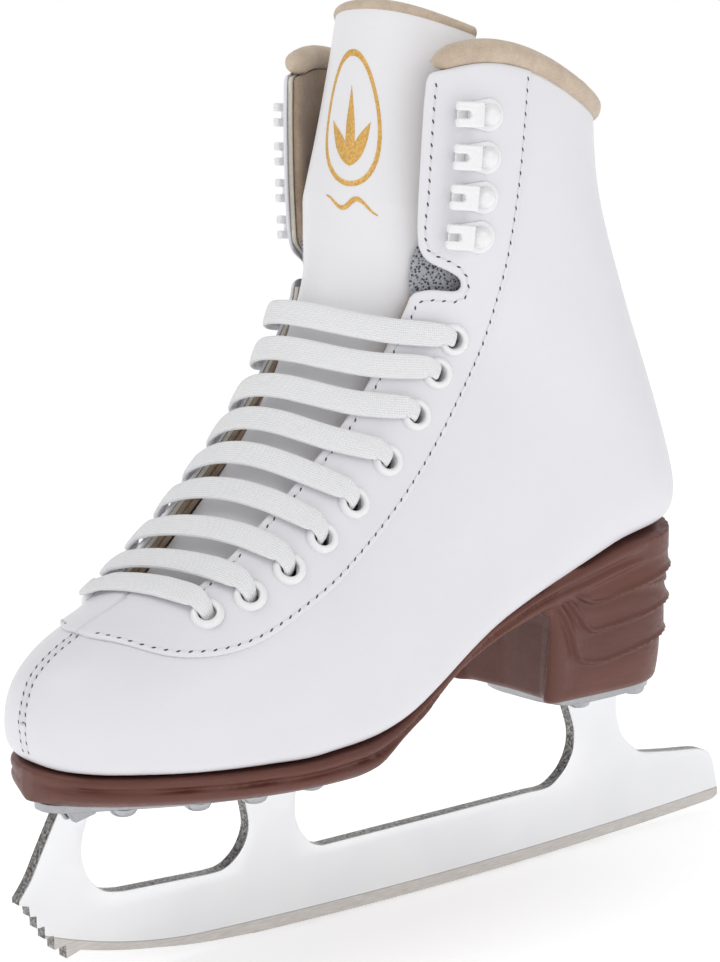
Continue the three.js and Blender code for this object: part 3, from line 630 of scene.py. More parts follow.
def collar_s(d):
    d = np.abs(d)
    return TOP + 0.2 * bump_at(d, 60, 24) - 0.25 * bump_at(d, 30, 12)


def mm_per_s(s, d):
    """Millimetres on the surface for one unit of s."""
    a, b = surface(np.asarray(s) - 0.02, d), surface(np.asarray(s) + 0.02, d)
    return np.linalg.norm(b - a, axis=-1) / 0.04


def direction_s(s, d):
    return unit(surface(s + 0.02, d) - surface(s - 0.02, d))


def direction_d(s, d):
    return unit(surface(s, d + 0.3) - surface(s, d - 0.3))


# ---------------------------------------------------------------- cut leather panels
FLAT_K = 13.0                       # millimetres that one unit of s counts for when a panel is laid flat


def inside_polygon(points, polygon):
    x, y = points[:, 0][:, None], points[:, 1][:, None]
    a, b = polygon, np.roll(polygon, -1, axis=0)
    crosses = (a[:, 1] > y) != (b[:, 1] > y)
    with np.errstate(divide="ignore", invalid="ignore"):
        at = (b[:, 0] - a[:, 0]) * (y - a[:, 1]) / (b[:, 1] - a[:, 1]) + a[:, 0]
    return (crosses & (x < at)).sum(1) % 2 == 1


def nearest_distance(points, rim):
    out = np.empty(len(points))
    for k in range(0, len(points), 2000):
        gap = points[k:k + 2000, None] - rim[None]
        out[k:k + 2000] = np.sqrt((gap**2).sum(-1).min(1))
    return out


def inset(polygon, amount):
    """The closed polygon moved inwards; it runs anticlockwise."""
    tangent = unit(np.roll(polygon, -1, axis=0) - np.roll(polygon, 1, axis=0))
    return polygon + amount * np.stack([-tangent[:, 1], tangent[:, 0]], axis=1)


def anticlockwise(polygon):
    a, b = polygon, np.roll(polygon, -1, axis=0)
    return polygon if (a[:, 0] * b[:, 1] - b[:, 0] * a[:, 1]).sum() > 0 else polygon[::-1]


def refined(line, step):
    """The closed line with its points kept and its long sides divided."""
    out = []
    for a, b in zip(line, np.roll(line, -1, axis=0)):
        count = max(1, int(math.ceil(np.linalg.norm(b - a) / step)))
        out += [a + (b - a) * k / count for k in range(count)]
    return np.array(out)


def plate(name, outline, place, thick, material, holes=(), edge=0.7, cell=2.2, step=0.8, both=False,
          top=0.0, wall=None):
    """A sheet cut to a flat outline, with rounded edges and real holes.

    place(points, height) puts it in space: its face is at height top(points), its back lies thick below, and
    both rounds that edge too. wall(a, b) picks the rim's material."""
    rim = anticlockwise(refined(np.asarray(outline, float), step))
    cuts = [anticlockwise(np.asarray(h, float)) for h in holes]
    vertices, edges = list(rim), [(k, (k + 1) % len(rim)) for k in range(len(rim))]
    for loop in cuts:
        start = len(vertices)
        vertices += list(loop)
        edges += [(start + k, start + (k + 1) % len(loop)) for k in range(len(loop))]
    boundary = np.vstack([rim, *cuts])
    for share in (0.12, 0.4, 1.0):
        for loop, sign in [(rim, 1)] + [(c, -1) for c in cuts]:
            ring = inset(loop, sign * share * edge)
            clear = nearest_distance(ring, boundary) > 0.8 * share * edge
            vertices += list(ring[clear & inside_polygon(ring, rim)])
    low, high = rim.min(0), rim.max(0)
    gx, gy = np.meshgrid(np.arange(low[0], high[0], cell), np.arange(low[1], high[1], cell))
    gx = gx + (np.arange(gx.shape[0]) % 2)[:, None] * cell / 2
    field = np.stack([gx.ravel(), gy.ravel()], axis=1)
    field = field[inside_polygon(field, rim)]
    if len(field):
        field = field[nearest_distance(field, boundary) > edge + 0.45 * cell]
    for c in cuts:
        field = field[~inside_polygon(field, c)]
    vertices += list(field)
    made = delaunay_2d_cdt([Vector(v) for v in vertices], edges, [], 0, 1e-5)
    flat = np.array([tuple(v) for v in made[0]])
    triangles = np.array([tuple(f) for f in made[2]])
    middle = flat[triangles].mean(1)
    keep = inside_polygon(middle, rim)
    for c in cuts:
        keep &= ~inside_polygon(middle, c)
    triangles = triangles[keep]
    used = np.unique(triangles)
    remap = -np.ones(len(flat), int)
    remap[used] = np.arange(len(used))
    triangles, flat = remap[triangles], flat[used]
    reach = np.clip(nearest_distance(flat, boundary) / edge, 0, 1)
    bulge = np.minimum(edge * (1 - np.sqrt(np.clip(1 - (1 - reach) ** 2, 0, 1))), thick * 0.45)
    height = top(flat) if callable(top) else np.full(len(flat), float(top))
    outer = place(flat, height - bulge)
    inner = place(flat, height - thick + (bulge if both else 0))
    n = len(flat)
    sides = {(a, b) for t in triangles.tolist() for a, b in zip(t, t[1:] + t[:1])}
    rims = [(a, b) for a, b in sides if (b, a) not in sides]
    faces = [tuple(t) for t in triangles] + [(n + c, n + b, n + a) for a, b, c in triangles]
    faces += [(b, a, n + a, n + b) for a, b in rims]
    indices = None
    if wall:
        indices = [0] * (2 * len(triangles)) + [wall(flat[a], flat[b]) for a, b in rims]
    points = np.concatenate([outer, inner])
    return piece(name, points, outward(points, faces), material, indices=indices)


def cut_panel(name, outline, side, top, thick, material, holes=(), **options):
    """Leather or cloth cut to an outline in (s, d) and laid on the last."""
    def flat(line):
        line = np.asarray(line, float)
        return np.stack([line[:, 1], line[:, 0] * FLAT_K], axis=1)

    def place(points, height):
        return upper(points[:, 1] / FLAT_K, side * points[:, 0], height)

    level = (lambda p: top(p[:, 1] / FLAT_K, p[:, 0])) if callable(top) else top
    holes = [flat(h) for h in holes]
    return plate(name, flat(outline), place, thick, material, holes, top=level, **options)


# ---------------------------------------------------------------- stitching
STITCH_PITCH = 3.0


def stitches(name, line, side, off, attach, pitch=STITCH_PITCH):
    """Thread between needle holes along a line in (s, d), on leather of height off."""
    line = np.asarray(line, float)
    fine = catmull(line, 8) if len(line) < 60 else line
    path = surface(fine[:, 0], side * fine[:, 1])
    run = np.concatenate([[0], np.cumsum(np.linalg.norm(np.diff(path, axis=0), axis=1))])
    count = max(2, int(run[-1] / pitch))
    at = (np.arange(count) + 0.5) * run[-1] / count
    s, d = np.interp(at, run, fine[:, 0]), np.interp(at, run, fine[:, 1])
    centre, out = upper(s, side * d, off), normal(s, side * d)
    ahead = unit(np.gradient(centre, axis=0))
    across = np.cross(out, ahead)
    spots, spot_faces, bars, bar_faces = [], [], [], []
    sides = 10
    for c, o, f, a in zip(centre, out, ahead, across):
        base = len(spots)
        for t in turns(sides):
            tilt = 0.18 * math.cos(t)
            spots.append(c + f * (0.56 * math.cos(t)) + a * (0.27 * math.sin(t) + tilt) + o * 0.03)
        spots += [c + o * 0.05, c - o * 0.3]
        for k in range(sides):
            m = (k + 1) % sides
            spot_faces.append((base + k, base + m, base + sides))
            spot_faces.append((base + m, base + k, base + sides + 1))
    length = pitch * 0.34
    for k in range(len(centre) - 1):
        c = (centre[k] + centre[k + 1]) / 2
        o, f, a = out[k], ahead[k], across[k]
        base = len(bars)
        for u, r in ((-1, 0.02), (-0.85, 0.2), (0, 0.26), (0.85, 0.2), (1, 0.02)):
            for t in turns(8):
                lift = o * (0.02 + r * 0.8 * math.sin(t))
                bars.append(c + f * (u * length) + a * (r * math.cos(t)) + lift)
        bar_faces += grid_faces(5, 8, base, wrap=True)
        bar_faces += [tuple(range(base, base + 8))[::-1], tuple(range(base + 32, base + 40))]
    # The hole discs are painted dark as the shade in the needle holes.
    rows = (("holes", spots, spot_faces, NEEDLE_HOLE_SHADE), ("thread", bars, bar_faces, THREAD))
    for word, points, faces, mat in rows:
        attach(piece(f"{name}_{word}", points, outward(points, faces), mat))


def boot(obj):
    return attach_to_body(obj, "boot")


def along_leg(s):
    """The direction from one section to the next, square to the section."""
    row = last_at(np.array([s]))[0]
    return unit(np.array([0, row[1] - row[3], row[2] - row[0]]))


def turns_with_flap(word, side):
    """Bakes the leather's placement into its mesh; it is not made to turn with the hook flap above the ankle
    notch.
    """
    a, b = surface(np.array([11.62, 12.2]), np.array([50.0, 50.0]) * side)
    n = along_leg(11.9)
    return lambda obj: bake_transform(obj)


def folds_at_hinge(word, side):
    """Bakes the padding's placement into its mesh; it is not bent where it crosses the hook flap's hinge."""
    return lambda obj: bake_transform(obj)


def bends_with_tongue():
    n = along_leg(FLEX)
    middle = surface(np.array([FLEX]), np.array([0.0]))[0]
    return lambda obj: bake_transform(obj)


# ---------------------------------------------------------------- vamp and quarters
def to_collar(s, d):
    return s + (collar_s(d) - TOP) * np.maximum(0, (s - 12.4) / (TOP - 12.4))


def seam_valley(d, width=0.8, depth=0.75):
    return -depth * np.exp(-((d / width) ** 2))


LEATHER_THICK = 1.8


def quarter(word, side):
    rows = np.concatenate([[0, 0.06, 0.14, 0.24], np.arange(0.35, 15.001, 0.085), [15.0]])
    half = half_girth(rows)
    start = np.maximum(0, np.where(rows < 4.02, 0, stitch_d(rows) - 5))
    near = np.array([0, 0.25, 0.5, 0.8, 1.2, 1.8])
    outer, inner = [], []
    for s, h, d0 in zip(rows, half, start):
        offsets = near * min(1, (h - d0) / 8)
        d = np.concatenate([d0 + offsets, np.linspace(d0 + offsets[-1], h - 0.02, 74)[1:]])
        s_row = to_collar(s, d)
        rise = seam_valley(d) if d0 == 0 else np.zeros(len(d))
        outer.append(upper(s_row, side * d, rise))
        inner.append(upper(s_row, side * d, -LEATHER_THICK))
    obj = slab_sheet(f"{word}_vamp_and_quarter", outer, inner, LEATHER)
    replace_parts(boot(obj), f"{word}_quarter")


# ---------------------------------------------------------------- facing, ankle notch and hook flap
FACING_TOP, FACING_THICK = 1.15, 1.1
EYELETS, HOOKS = 9, 4
MEDIAL_DROP = 0.36


def eyelet_s(i, side=1):
    """The medial row sits a little nearer the toe than the lateral one."""
    drop = MEDIAL_DROP * min(1, (EYELETS - 1 - i) / 2) * min(1, (i + 1.6) / 3) if side < 0 else 0
    return 5.58 + 0.655 * i - drop


def eyelet_d(i):
    s = eyelet_s(i)
    return float(facing_edge(s) + lerp(10.5, 15, smooth(i / 2.5)))


def circle_at(s, d, radius, count=28):
    k = float(mm_per_s(np.array([s]), np.array([d]))[0])
    turn = turns(count)
    return np.stack([s + radius * np.sin(turn) / k, d + radius * np.cos(turn)], axis=1)


THROAT_LINE = np.array([(s, facing_edge(s)) for s in np.concatenate([
    np.linspace(THROAT, 5.9, 16), np.linspace(6.1, 11.1, 20)])])
NOTCH_LINE = catmull([(11.1, 31.9), (11.23, 32.9), (11.34, 34.9), (11.45, 37.8), (11.53, 41), (11.6, 43.8),
                      (11.67, 45.4), (11.77, 45.9), (11.86, 44.9), (11.89, 42), (11.89, 38.6), (11.9, 36.4),
                      (11.95, 34.6), (12.07, 33.2), (12.3, 32.4), (12.6, 32.1)], 5)
FLAP_FRONT = np.array([(12.9, 32.0), (13.4, 32.0), (13.9, 32.1), (14.4, 32.4), (14.7, 32.9)])


def facing_outline():
    d = np.linspace(33.6, 61.6 + SEAM_ALLOWANCE, 30)
    collar = np.stack([collar_s(d), d], axis=1)
    collar[0, 0] -= 0.03
    down = STITCH[::-1].copy()
    down[:, 1] += SEAM_ALLOWANCE * smooth(down[:, 1] / 8)
    down[:, 0] -= 0.09 * (1 - smooth(down[:, 1] / 20))
    down = down[down[:, 0] < 15.1]
    down[-1, 1] = 0
    start = [(down[-1, 0], 0.0), (THROAT - 0.02, 0.0)]
    return np.vstack([start, THROAT_LINE, NOTCH_LINE, FLAP_FRONT, collar, down[:-1]])


def facing_height(s, d):
    """The facing's face stands off the last, and sinks over the toe seam."""
    return FACING_TOP + np.where(s < THROAT, seam_valley(d, 0.7, 0.6), 0)


def facing(word, side):
    attach = turns_with_flap(word, side)
    holes = [circle_at(eyelet_s(i, side), eyelet_d(i), 2.75) for i in range(EYELETS)]
    panel = cut_panel(f"{word}_facing_and_flap", facing_outline(), side, facing_height, FACING_THICK,
                      LEATHER, holes, edge=0.75, cell=1.9, step=0.7)
    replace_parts(attach(panel), f"{word}_facing", f"{word}_flap")
    seam = STITCH[(STITCH[:, 0] > 3.99) & (STITCH[:, 0] < 15.16)]
    stitches(f"{word}_facing_seam", seam, side, FACING_TOP, attach)
    inside = NOTCH_LINE.copy()
    tangent = unit(np.gradient(inside * (FLAT_K, 1), axis=0))
    inside += 2.1 * np.stack([-tangent[:, 1] / FLAT_K, tangent[:, 0]], axis=1)
    front = FLAP_FRONT + (0, 2.6)
    front[-1, 0] += 0.06
    stitches(f"{word}_notch_seam", np.vstack([inside[2:-1], front]), side, FACING_TOP, attach)
    throat = THROAT_LINE[8:] + (0, 2.2)
    stitches(f"{word}_throat_seam", throat, side, FACING_TOP, attach, pitch=2.6)


def throat_lining(word, side):
    """The facing's cut edge in layers: pale stiffener, then the brown lining that turns in under it."""
    for name, top, thick, inset_d, width, mat, slot in (
            ("stiffener", 0.0, 1.3, 0.25, 13, EDGE, "white_leather"),
            ("edge_lining", -1.35, 1.25, 0.1, 15, LINING, "lining_beige"),
            ("inner_lining", -2.65, 1.7, 0.7, 16, LINING, "lining_beige")):
        s = np.linspace(5.5, 11.15, 30)
        front = np.stack([s, facing_edge(s) + inset_d], axis=1)
        back = np.stack([s, facing_edge(s) + width], axis=1)[::-1]
        outline = np.vstack([front, back])
        obj = cut_panel(f"{word}_{name}", outline, side, top, thick, mat, edge=0.5, cell=2.5)
        boot(obj)


def flap_lining(word, side):
    attach = turns_with_flap(word, side)
    s = np.linspace(12.1, 14.75, 16)
    front = np.stack([s, 32.9 + 0.3 * smooth((s - 14) / 0.8)], axis=1)
    foot = catmull([(11.95, 50.5), (11.93, 46), (11.95, 40), (11.97, 36.5), (12.02, 34), (12.1, 33.1)], 4)
    d = np.linspace(34.2, 60, 20)
    collar = np.stack([collar_s(d) - 0.02, d], axis=1)
    back = np.array([(14.2, 60), (13.4, 59), (12.6, 57.5), (12.0, 54.5)])
    outline = np.vstack([foot[:-1], front, collar, back])
    edge = cut_panel(f"{word}_flap_edge", outline, side, 0.0, 1.3, EDGE, edge=0.5, cell=2.5)
    attach(edge)
    outline = outline + (0, 0.35)
    lining = cut_panel(f"{word}_flap_lining", outline, side, -1.35, 2.5, LINING, edge=1.0, cell=2.5)
    attach(lining)


def gusset(word, side):
    outline = [(11.05, 33), (11.05, 50), (11.6, 52), (12.25, 51), (12.3, 34), (11.8, 31.5), (11.4, 31.5)]
    cloth = cut_panel(f"{word}_gusset_cloth", outline, side, -3.0, 0.7, GAUZE, edge=0.3, cell=1.2)
    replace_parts(boot(cloth), f"{word}_gusset")


# ---------------------------------------------------------------- lining, footbed, back stay
def lining():
    rows = np.linspace(1.6, 14.95, 110)
    outer, inner = [], []
    for s in rows:
        h = float(half_girth(s)[0])
        if s < THROAT:
            front = 0.2
        else:
            low = facing_edge(s) + lerp(14, 21, smooth((s - 6) / 2))
            front = float(lerp(low, 61.5, smooth((s - 11) / 0.8)))
        d = np.linspace(front, 2 * h - front, 100)
        signed = np.where(d <= h, d, d - 2 * h)
        outer.append(upper(s, signed, -2.6))
        inner.append(upper(s, signed, -5.2))
    obj = slab_sheet("boot_lining", outer, inner, LINING)
    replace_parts(boot(obj), "lining")


def under_panel(name, rows, reach, layer, material):
    """A sheet laid across the back middle of the last, reach(s) wide to each side, between two heights."""
    outer, inner = [], []
    for s in rows:
        e = np.linspace(-reach(s), reach(s), 31)
        d = np.where(e < 0, -1, 1) * (half_girth(s)[0] - np.abs(e))
        edge = np.clip(reach(s) - np.abs(e), 0, 1)
        drop = 0.6 * (1 - np.sqrt(np.clip(1 - (1 - edge) ** 2, 0, 1)))
        outer.append(upper(s, d, layer[0] - drop))
        inner.append(upper(s, d, layer[1]))
    return slab_sheet(name, outer, inner, material)


def bed_reach(s):
    """Half the width of the footbed, from the toe to the heel."""
    return float(lerp(11, 22, smooth((s - 3.4) / 3)))


def footbed():
    obj = under_panel("insole_cover", np.linspace(3.2, 10.3, 60), bed_reach, (-6.9, -9.8), FELT)
    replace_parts(boot(obj), "footbed")


def stay_reach(s):
    """Half the width of the back stay, wider at the ankle."""
    return 9 + 2 * bump_at(s, 12, 1.2)


def back_stay():
    obj = under_panel("back_stay_strap", np.linspace(11.08, 15.03, 90), stay_reach, (1.0, -0.3), LEATHER)
    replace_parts(boot(obj), "back_stay")
    for word, side in SIDES:
        s = np.linspace(11.12, 14.95, 40)
        line = np.stack([s, half_girth(s) - (stay_reach(s) - 1.4)], axis=1)
        stitches(f"{word}_stay_seam", line, side, 1.0, boot)


# ---------------------------------------------------------------- collar
def collar_roll(name, side, start, stop, attach, node, count=70):
    d = np.linspace(start, stop, count)
    s = collar_s(d)
    out, up = normal(s, side * d), direction_s(s, side * d)
    base = upper(s, side * d, -1.7)
    rings = []
    for k in range(count):
        share = min(k, count - 1 - k) / (count - 1)
        end = min(1.0, math.sqrt(max(0.0, share * 22))) if (start < 40 and k < count / 2) else 1.0
        puff = 1 + 0.03 * math.sin(k * 0.9) * math.sin(k * 0.37)
        ring = []
        for a in turns(24):
            x, y = math.cos(a), math.sin(a)
            wide = (3.9 if x > 0 else 4.3) * puff * max(end, 0.05)
            ring.append(base[k] + up[k] * (2.9 + 3.35 * max(end, 0.05) * y) + out[k] * wide * x)
        rings.append(ring)
    obj = loft(name, rings, SUEDE)
    attach(obj)
    if node:
        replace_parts(obj, *node)
    return obj


def collar():
    for word, side in SIDES:
        half = float(half_girth(TOP)[0])
        nodes = [f"{word}_flap_pad"] + (["collar_pad"] if side > 0 else [])
        collar_roll(f"{word}_collar_roll", side, 33.8, half, folds_at_hinge(word, side), nodes)


# ---------------------------------------------------------------- tongue
def tongue_face(s):
    return -4.9 - 3 * np.maximum(0, s - 12.6)


def tongue_reach(s):
    return np.where(s < FLEX, facing_edge(s) + 9, lerp(40, 55, smooth((s - FLEX) / 2.6)))


TONGUE_TOP = 15.62


def tongue():
    attach = bends_with_tongue()
    rows = np.concatenate([np.arange(THROAT + 0.15, TONGUE_TOP, 0.09), [TONGUE_TOP]])
    share = np.linspace(-1, 1, 91)

    def layer(above, below):
        outer, inner = [], []
        for s in rows:
            d = share * float(tongue_reach(s))
            edge = np.clip((1 - np.abs(share)) * 30, 0, 1)
            round_off = 1 - np.sqrt(np.clip(1 - (1 - edge) ** 2, 0, 1))
            face = float(tongue_face(s))
            outer.append(upper(s, d, face + above - 0.5 * round_off))
            inner.append(upper(s, d, face + below + 0.5 * round_off))
        return outer, inner

    front = slab_sheet("tongue_leather", *layer(0.0, -1.5), TONGUE_LEATHER)
    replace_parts(attach(front), "tongue_lower", "tongue_upper")
    back = slab_sheet("tongue_felt", *layer(-1.55, -3.9), FELT)
    attach(back)
    d = np.linspace(-1, 1, 90) * (float(tongue_reach(TONGUE_TOP)) - 0.5)
    out, up = normal(TONGUE_TOP, d), direction_s(TONGUE_TOP, d)
    base = upper(TONGUE_TOP, d, float(tongue_face(TONGUE_TOP)) - 1.9)
    rings = []
    for k in range(90):
        rings.append([base[k] + out[k] * 2.5 * math.cos(a) + up[k] * (0.2 + 1.7 * math.sin(a))
                      for a in turns(16)])
    binding = loft("tongue_binding", rings, SUEDE)
    attach(binding)


# ---------------------------------------------------------------- gilt ornament
def ribbon(path, width):
    """The outline of a stroke: width is a number or one value for each point."""
    path = np.asarray(path, float)
    tangent = unit(np.gradient(path, axis=0))
    across = np.stack([-tangent[:, 1], tangent[:, 0]], axis=1)
    half = np.broadcast_to(np.asarray(width, float), (len(path),))[:, None] / 2
    return np.vstack([path + across * half, (path - across * half)[::-1]])


ORNAMENT_S, ORNAMENT_D, ORNAMENT_LEAN = 13.62, 5.6, 4.0


def ornament():
    """A generic gilt device on the tongue: an oval frame, three leaves and a flourish."""
    def place(points, height):
        s = ORNAMENT_S + points[:, 1] / 14
        d = ORNAMENT_D - ORNAMENT_LEAN * (s - ORNAMENT_S) + points[:, 0]
        return upper(s, d, tongue_face(s) + height)

    def add(name, outline, holes=()):
        obj = plate(name, outline, place, 0.3, GILT, holes, edge=0.08, cell=1.2, step=0.5, top=0.13)
        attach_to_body(obj, "tongue")

    turn = turns(72)
    oval = np.stack([13.2 * np.cos(turn), 16 * np.sin(turn) + 4], axis=1)
    add("ornament_frame", oval, [np.stack([11.8 * np.cos(turn), 14.6 * np.sin(turn) + 4], axis=1)])
    for k, (lean, length) in enumerate(((-38, 14.5), (0, 19), (38, 14.5))):
        t = np.linspace(0, 1, 16)
        wide = 2.1 * np.sin(math.pi * t**0.8)
        leaf = np.vstack([np.stack([wide, t * length], 1), np.stack([-wide, t * length], 1)[-2:0:-1]])
        a = math.radians(lean)
        turned_leaf = leaf @ np.array([[math.cos(a), -math.sin(a)], [math.sin(a), math.cos(a)]])
        add(f"ornament_leaf_{k + 1}", turned_leaf + (0, -6.6))
    t = np.linspace(-1, 1, 40)
    sweep = np.stack([9.5 * t, -16.5 + 1.5 * np.sin(math.pi * t * 1.5)], axis=1)
    add("ornament_flourish", ribbon(sweep, 0.35 + 1.0 * (1 - t**2)))


def toe_seam():
    """Stitch holes down both sides of the seam that closes the vamp over the toe."""
    over = np.linspace(3.9, 0.15, 60)
    under = np.linspace(0.15, 1.3, 30)
    line = np.stack([np.concatenate([over, under]),
                     np.concatenate([np.full(60, 1.35), half_girth(under) - 1.35])], axis=1)
    for word, side in SIDES:
        stitches(f"{word}_toe_seam", line, side, 0.0, boot, pitch=2.3)


# ---------------------------------------------------------------- lace
LACE_THICK = 1.7


def lace_path():
    """Stops of one flat lace: (s, d, height, half width, 1 if its width lies round the section)."""
    stops = []
    for i in range(EYELETS):
        start = 1 if i % 2 else -1
        s, e = eyelet_s(i), eyelet_d(i)
        sag = lerp(0.2, 0.8, i / (EYELETS - 1))
        edge = float(facing_edge(s - sag / 2)) + 0.6

        def bar(d):
            lean = min(1.0, max(0.0, (e - 6 - d) / (2 * e - 12)))
            hang = MEDIAL_DROP * min(1, (EYELETS - 1 - i) / 2) * lean
            dip = lerp(s - eyelet_s(i, -1), hang, smooth((e - 1 + d) / 5))
            return s - sag * max(0.0, 1 - (d / (e - 3)) ** 2) - dip

        def dive(way):
            end = eyelet_s(i, way)
            return [(end, e + 0.3, -2.4, 1.7), (end, e + 0.1, 0.4, 1.9), (end, e - 0.9, 2.6, 2.1),
                    (bar(way * (e - 3.6)), e - 3.6, 3.5, 2.6), (bar(way * (e - 6.5)), e - 6.5, 3.4, 3.2)]

        stops += [(a, start * b, c, h, 0) for a, b, c, h in dive(start)]
        for k in range(9):
            share = 1 - k / 4
            low = 2.4 if i == 0 else 1.2
            d = start * share * edge
            stops.append((bar(d), d, lerp(low, 2.9, share**2), 3.35, 0))
        stops += [(a, -start * b, c, h, 0) for a, b, c, h in dive(-start)[::-1]]
        if i < EYELETS - 1:
            s, s2, e2 = eyelet_s(i, -start), eyelet_s(i + 1, -start), eyelet_d(i + 1)
            for t, off, half in ((0.08, -3.6, 1.6), (0.5, -3.9, 2.2), (0.92, -3.6, 1.6)):
                stops.append((lerp(s, s2, t), -start * (lerp(e, e2, t) - 0.5), off, half, 1))
    return stops


def lace():
    stops = np.array(lace_path())
    s, d, off, half, round_way = stops.T
    place = upper(s, d, off)
    wide = np.where(round_way[:, None] > 0.5, direction_d(s, d), direction_s(s, d))
    for k in range(1, len(wide)):
        if np.dot(wide[k], wide[k - 1]) < 0:
            wide[k] = -wide[k]
    path = catmull(np.concatenate([place, wide, half[:, None]], axis=1), 5)
    centre, wide, half = path[:, :3], path[:, 3:6], path[:, 6]
    ahead = unit(np.gradient(centre, axis=0))
    wide = unit(wide - ahead * (wide * ahead).sum(1, keepdims=True))
    thick = np.cross(ahead, wide)
    sides = 20
    a = turns(sides)
    x = np.sign(np.cos(a)) * np.abs(np.cos(a)) ** 0.62
    y = np.sign(np.sin(a)) * np.abs(np.sin(a)) ** 0.8 * LACE_THICK / 2
    rings = (centre[:, None] + wide[:, None] * (x[None, :, None] * half[:, None, None])
             + thick[:, None] * y[None, :, None])
    obj = loft("lace_flat", rings, LACE)
    run = np.concatenate([[0], np.cumsum(np.linalg.norm(np.diff(centre, axis=0), axis=1))])
    across = np.concatenate([(x[None, :] * half[:, None]).ravel(), [0, 0]])
    along = np.concatenate([np.repeat(run, sides), [run[0], run[-1]]])
    strip_map(obj, across, along)
    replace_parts(boot(obj), "lace")
    return run[-1]


def strip_map(obj, across, along):
    """Each vertex's millimetres across and along the strip, for the weave."""
    mesh = obj.data
    corners = np.empty(len(mesh.loops), np.int32)
    mesh.loops.foreach_get("vertex_index", corners)
    layer = mesh.uv_layers.new(name="strip")
    flat = np.stack([across[corners], along[corners]], axis=1)
    layer.data.foreach_set("uv", flat.astype(np.float32).ravel())


# ---------------------------------------------------------------- turned and formed metal
def frame_on(axis):
    """Two directions square to the axis, and the axis."""
    axis = unit(np.asarray(axis, float))
    side = unit(np.cross(axis, (0, 0, 1) if abs(axis[2]) < 0.9 else (1, 0, 0)))
    return side, np.cross(axis, side), axis


def turned(name, profile, base, axis, material, segments=40, ripple=None):
    """A solid of revolution if the profile starts and ends at radius 0, and else a ring of that section."""
    u, v, w = frame_on(axis)
    solid = profile[0][0] == 0 and profile[-1][0] == 0
    body = profile[1:-1] if solid else profile
    rings = []
    for t in turns(segments):
        for r, h in body:
            r = r * (1 + ripple(r, h) * math.cos(6 * t)) if ripple else r
            rings.append(np.asarray(base) + (u * math.cos(t) + v * math.sin(t)) * r + w * h)
    n = len(body)
    faces = []
    for k in range(segments):
        m = (k + 1) % segments
        for j in range(n - 1 if solid else n):
            i = (j + 1) % n
            faces.append((k * n + j, m * n + j, m * n + i, k * n + i))
    if solid:
        for j, h, flip in ((0, profile[0][1], False), (n - 1, profile[-1][1], True)):
            rings.append(np.asarray(base) + w * h)
            for k in range(segments):
                m = (k + 1) % segments
                tri = (k * n + j, len(rings) - 1, m * n + j)
                faces.append(tuple(reversed(tri)) if flip else tri)
    return piece(name, rings, outward(rings, faces), material)


def joined(name, objects):
    """The objects as one mesh under a new name."""
    points, faces, materials, indices = [], [], [], []
    for obj in objects:
        start = len(points)
        points += [tuple(c / MM for c in v.co) for v in obj.data.vertices]
        slots = []
        for mat in obj.data.materials:
            if mat not in materials:
                materials.append(mat)
            slots.append(materials.index(mat))
        for f in obj.data.polygons:
            faces.append(tuple(start + i for i in f.vertices))
            indices.append(slots[f.material_index])
        bpy.data.objects.remove(obj)
    return piece(name, points, faces, materials, indices=indices)


# Profiles are (radius, height) in millimetres.
EYELET_RING = [(2.3, -3.9), (2.3, 0.6), (2.42, 1.15), (2.8, 1.5), (3.3, 1.55), (3.8, 1.25), (4.15, 0.75),
               (4.3, 0.2), (4.3, -0.1), (2.62, -0.1), (2.62, -3.9)]
# Painted shade: a dark disc low in the eyelet's barrel stands in for the shade inside the hole.
EYELET_SHADE_DISC = [(0, -3.5), (2.31, -3.5), (2.31, -3.7), (0, -3.7)]


def eyelets():
    for word, side in SIDES:
        for i in range(EYELETS):
            s, d = np.array([eyelet_s(i, side)]), np.array([side * eyelet_d(i)])
            base, out = upper(s, d, FACING_TOP)[0], normal(s, d)[0]
            ring = turned("ring", EYELET_RING, base, out, ENAMEL)
            # painted shade disc inside the barrel
            floor = turned("depth", EYELET_SHADE_DISC, base, out, EYELET_SHADE, 20)
            obj = joined(f"{word}_eyelet_ring_{i + 1}", [ring, floor])
            sharp_by_angle(obj, 50)
            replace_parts(boot(obj), f"{word}_eyelet_{i + 1}")


HOOK_D = 49.2                        # of the rivets, on the last


def hook_s(i):
    return lerp(12.62, 14.42, i / (HOOKS - 1))


def rounded_box(low, high, radius, count=6):
    corners = [(high[0], high[1], 0), (low[0], high[1], 90), (low[0], low[1], 180), (high[0], low[1], 270)]
    out = []
    for x, y, start in corners:
        cx = x - radius if x == high[0] else x + radius
        cy = y - radius if y == high[1] else y + radius
        for k in range(count + 1):
            a = math.radians(start + 90 * k / count)
            out.append((cx + radius * math.cos(a), cy + radius * math.sin(a)))
    return out


def hook_clip():
    """The clip from above: front to +x, with a slot for the lace that opens at the front."""
    reach, half, slot_half, slot_end, r = 10.4, 3.3, 0.95, 6.6, 0.7
    out = [(2.7, -half), (reach - r, -half)]
    for side in (-1, 1):
        inner, outer = slot_half * side, half * side
        turn = np.radians(np.linspace(-90, 0, 5))
        corner = [(reach - r + r * math.cos(t), outer - side * r - side * r * math.sin(t)) for t in turn]
        lip = [(reach, inner + side * 0.4), (reach - 0.4, inner)]
        if side < 0:
            out += corner + lip
            out += [(slot_end + 0.5, -slot_half), (slot_end, -slot_half + 0.5), (slot_end, slot_half - 0.5),
                    (slot_end + 0.5, slot_half)]
        else:
            out += lip[::-1] + corner[::-1]
    out += [(2.7, half)]
    return np.array(out)


RIVET = [(0, 3.7), (1.2, 3.6), (2.0, 3.25), (2.6, 2.6), (2.85, 1.8), (2.85, 0.7), (0, 0.7)]


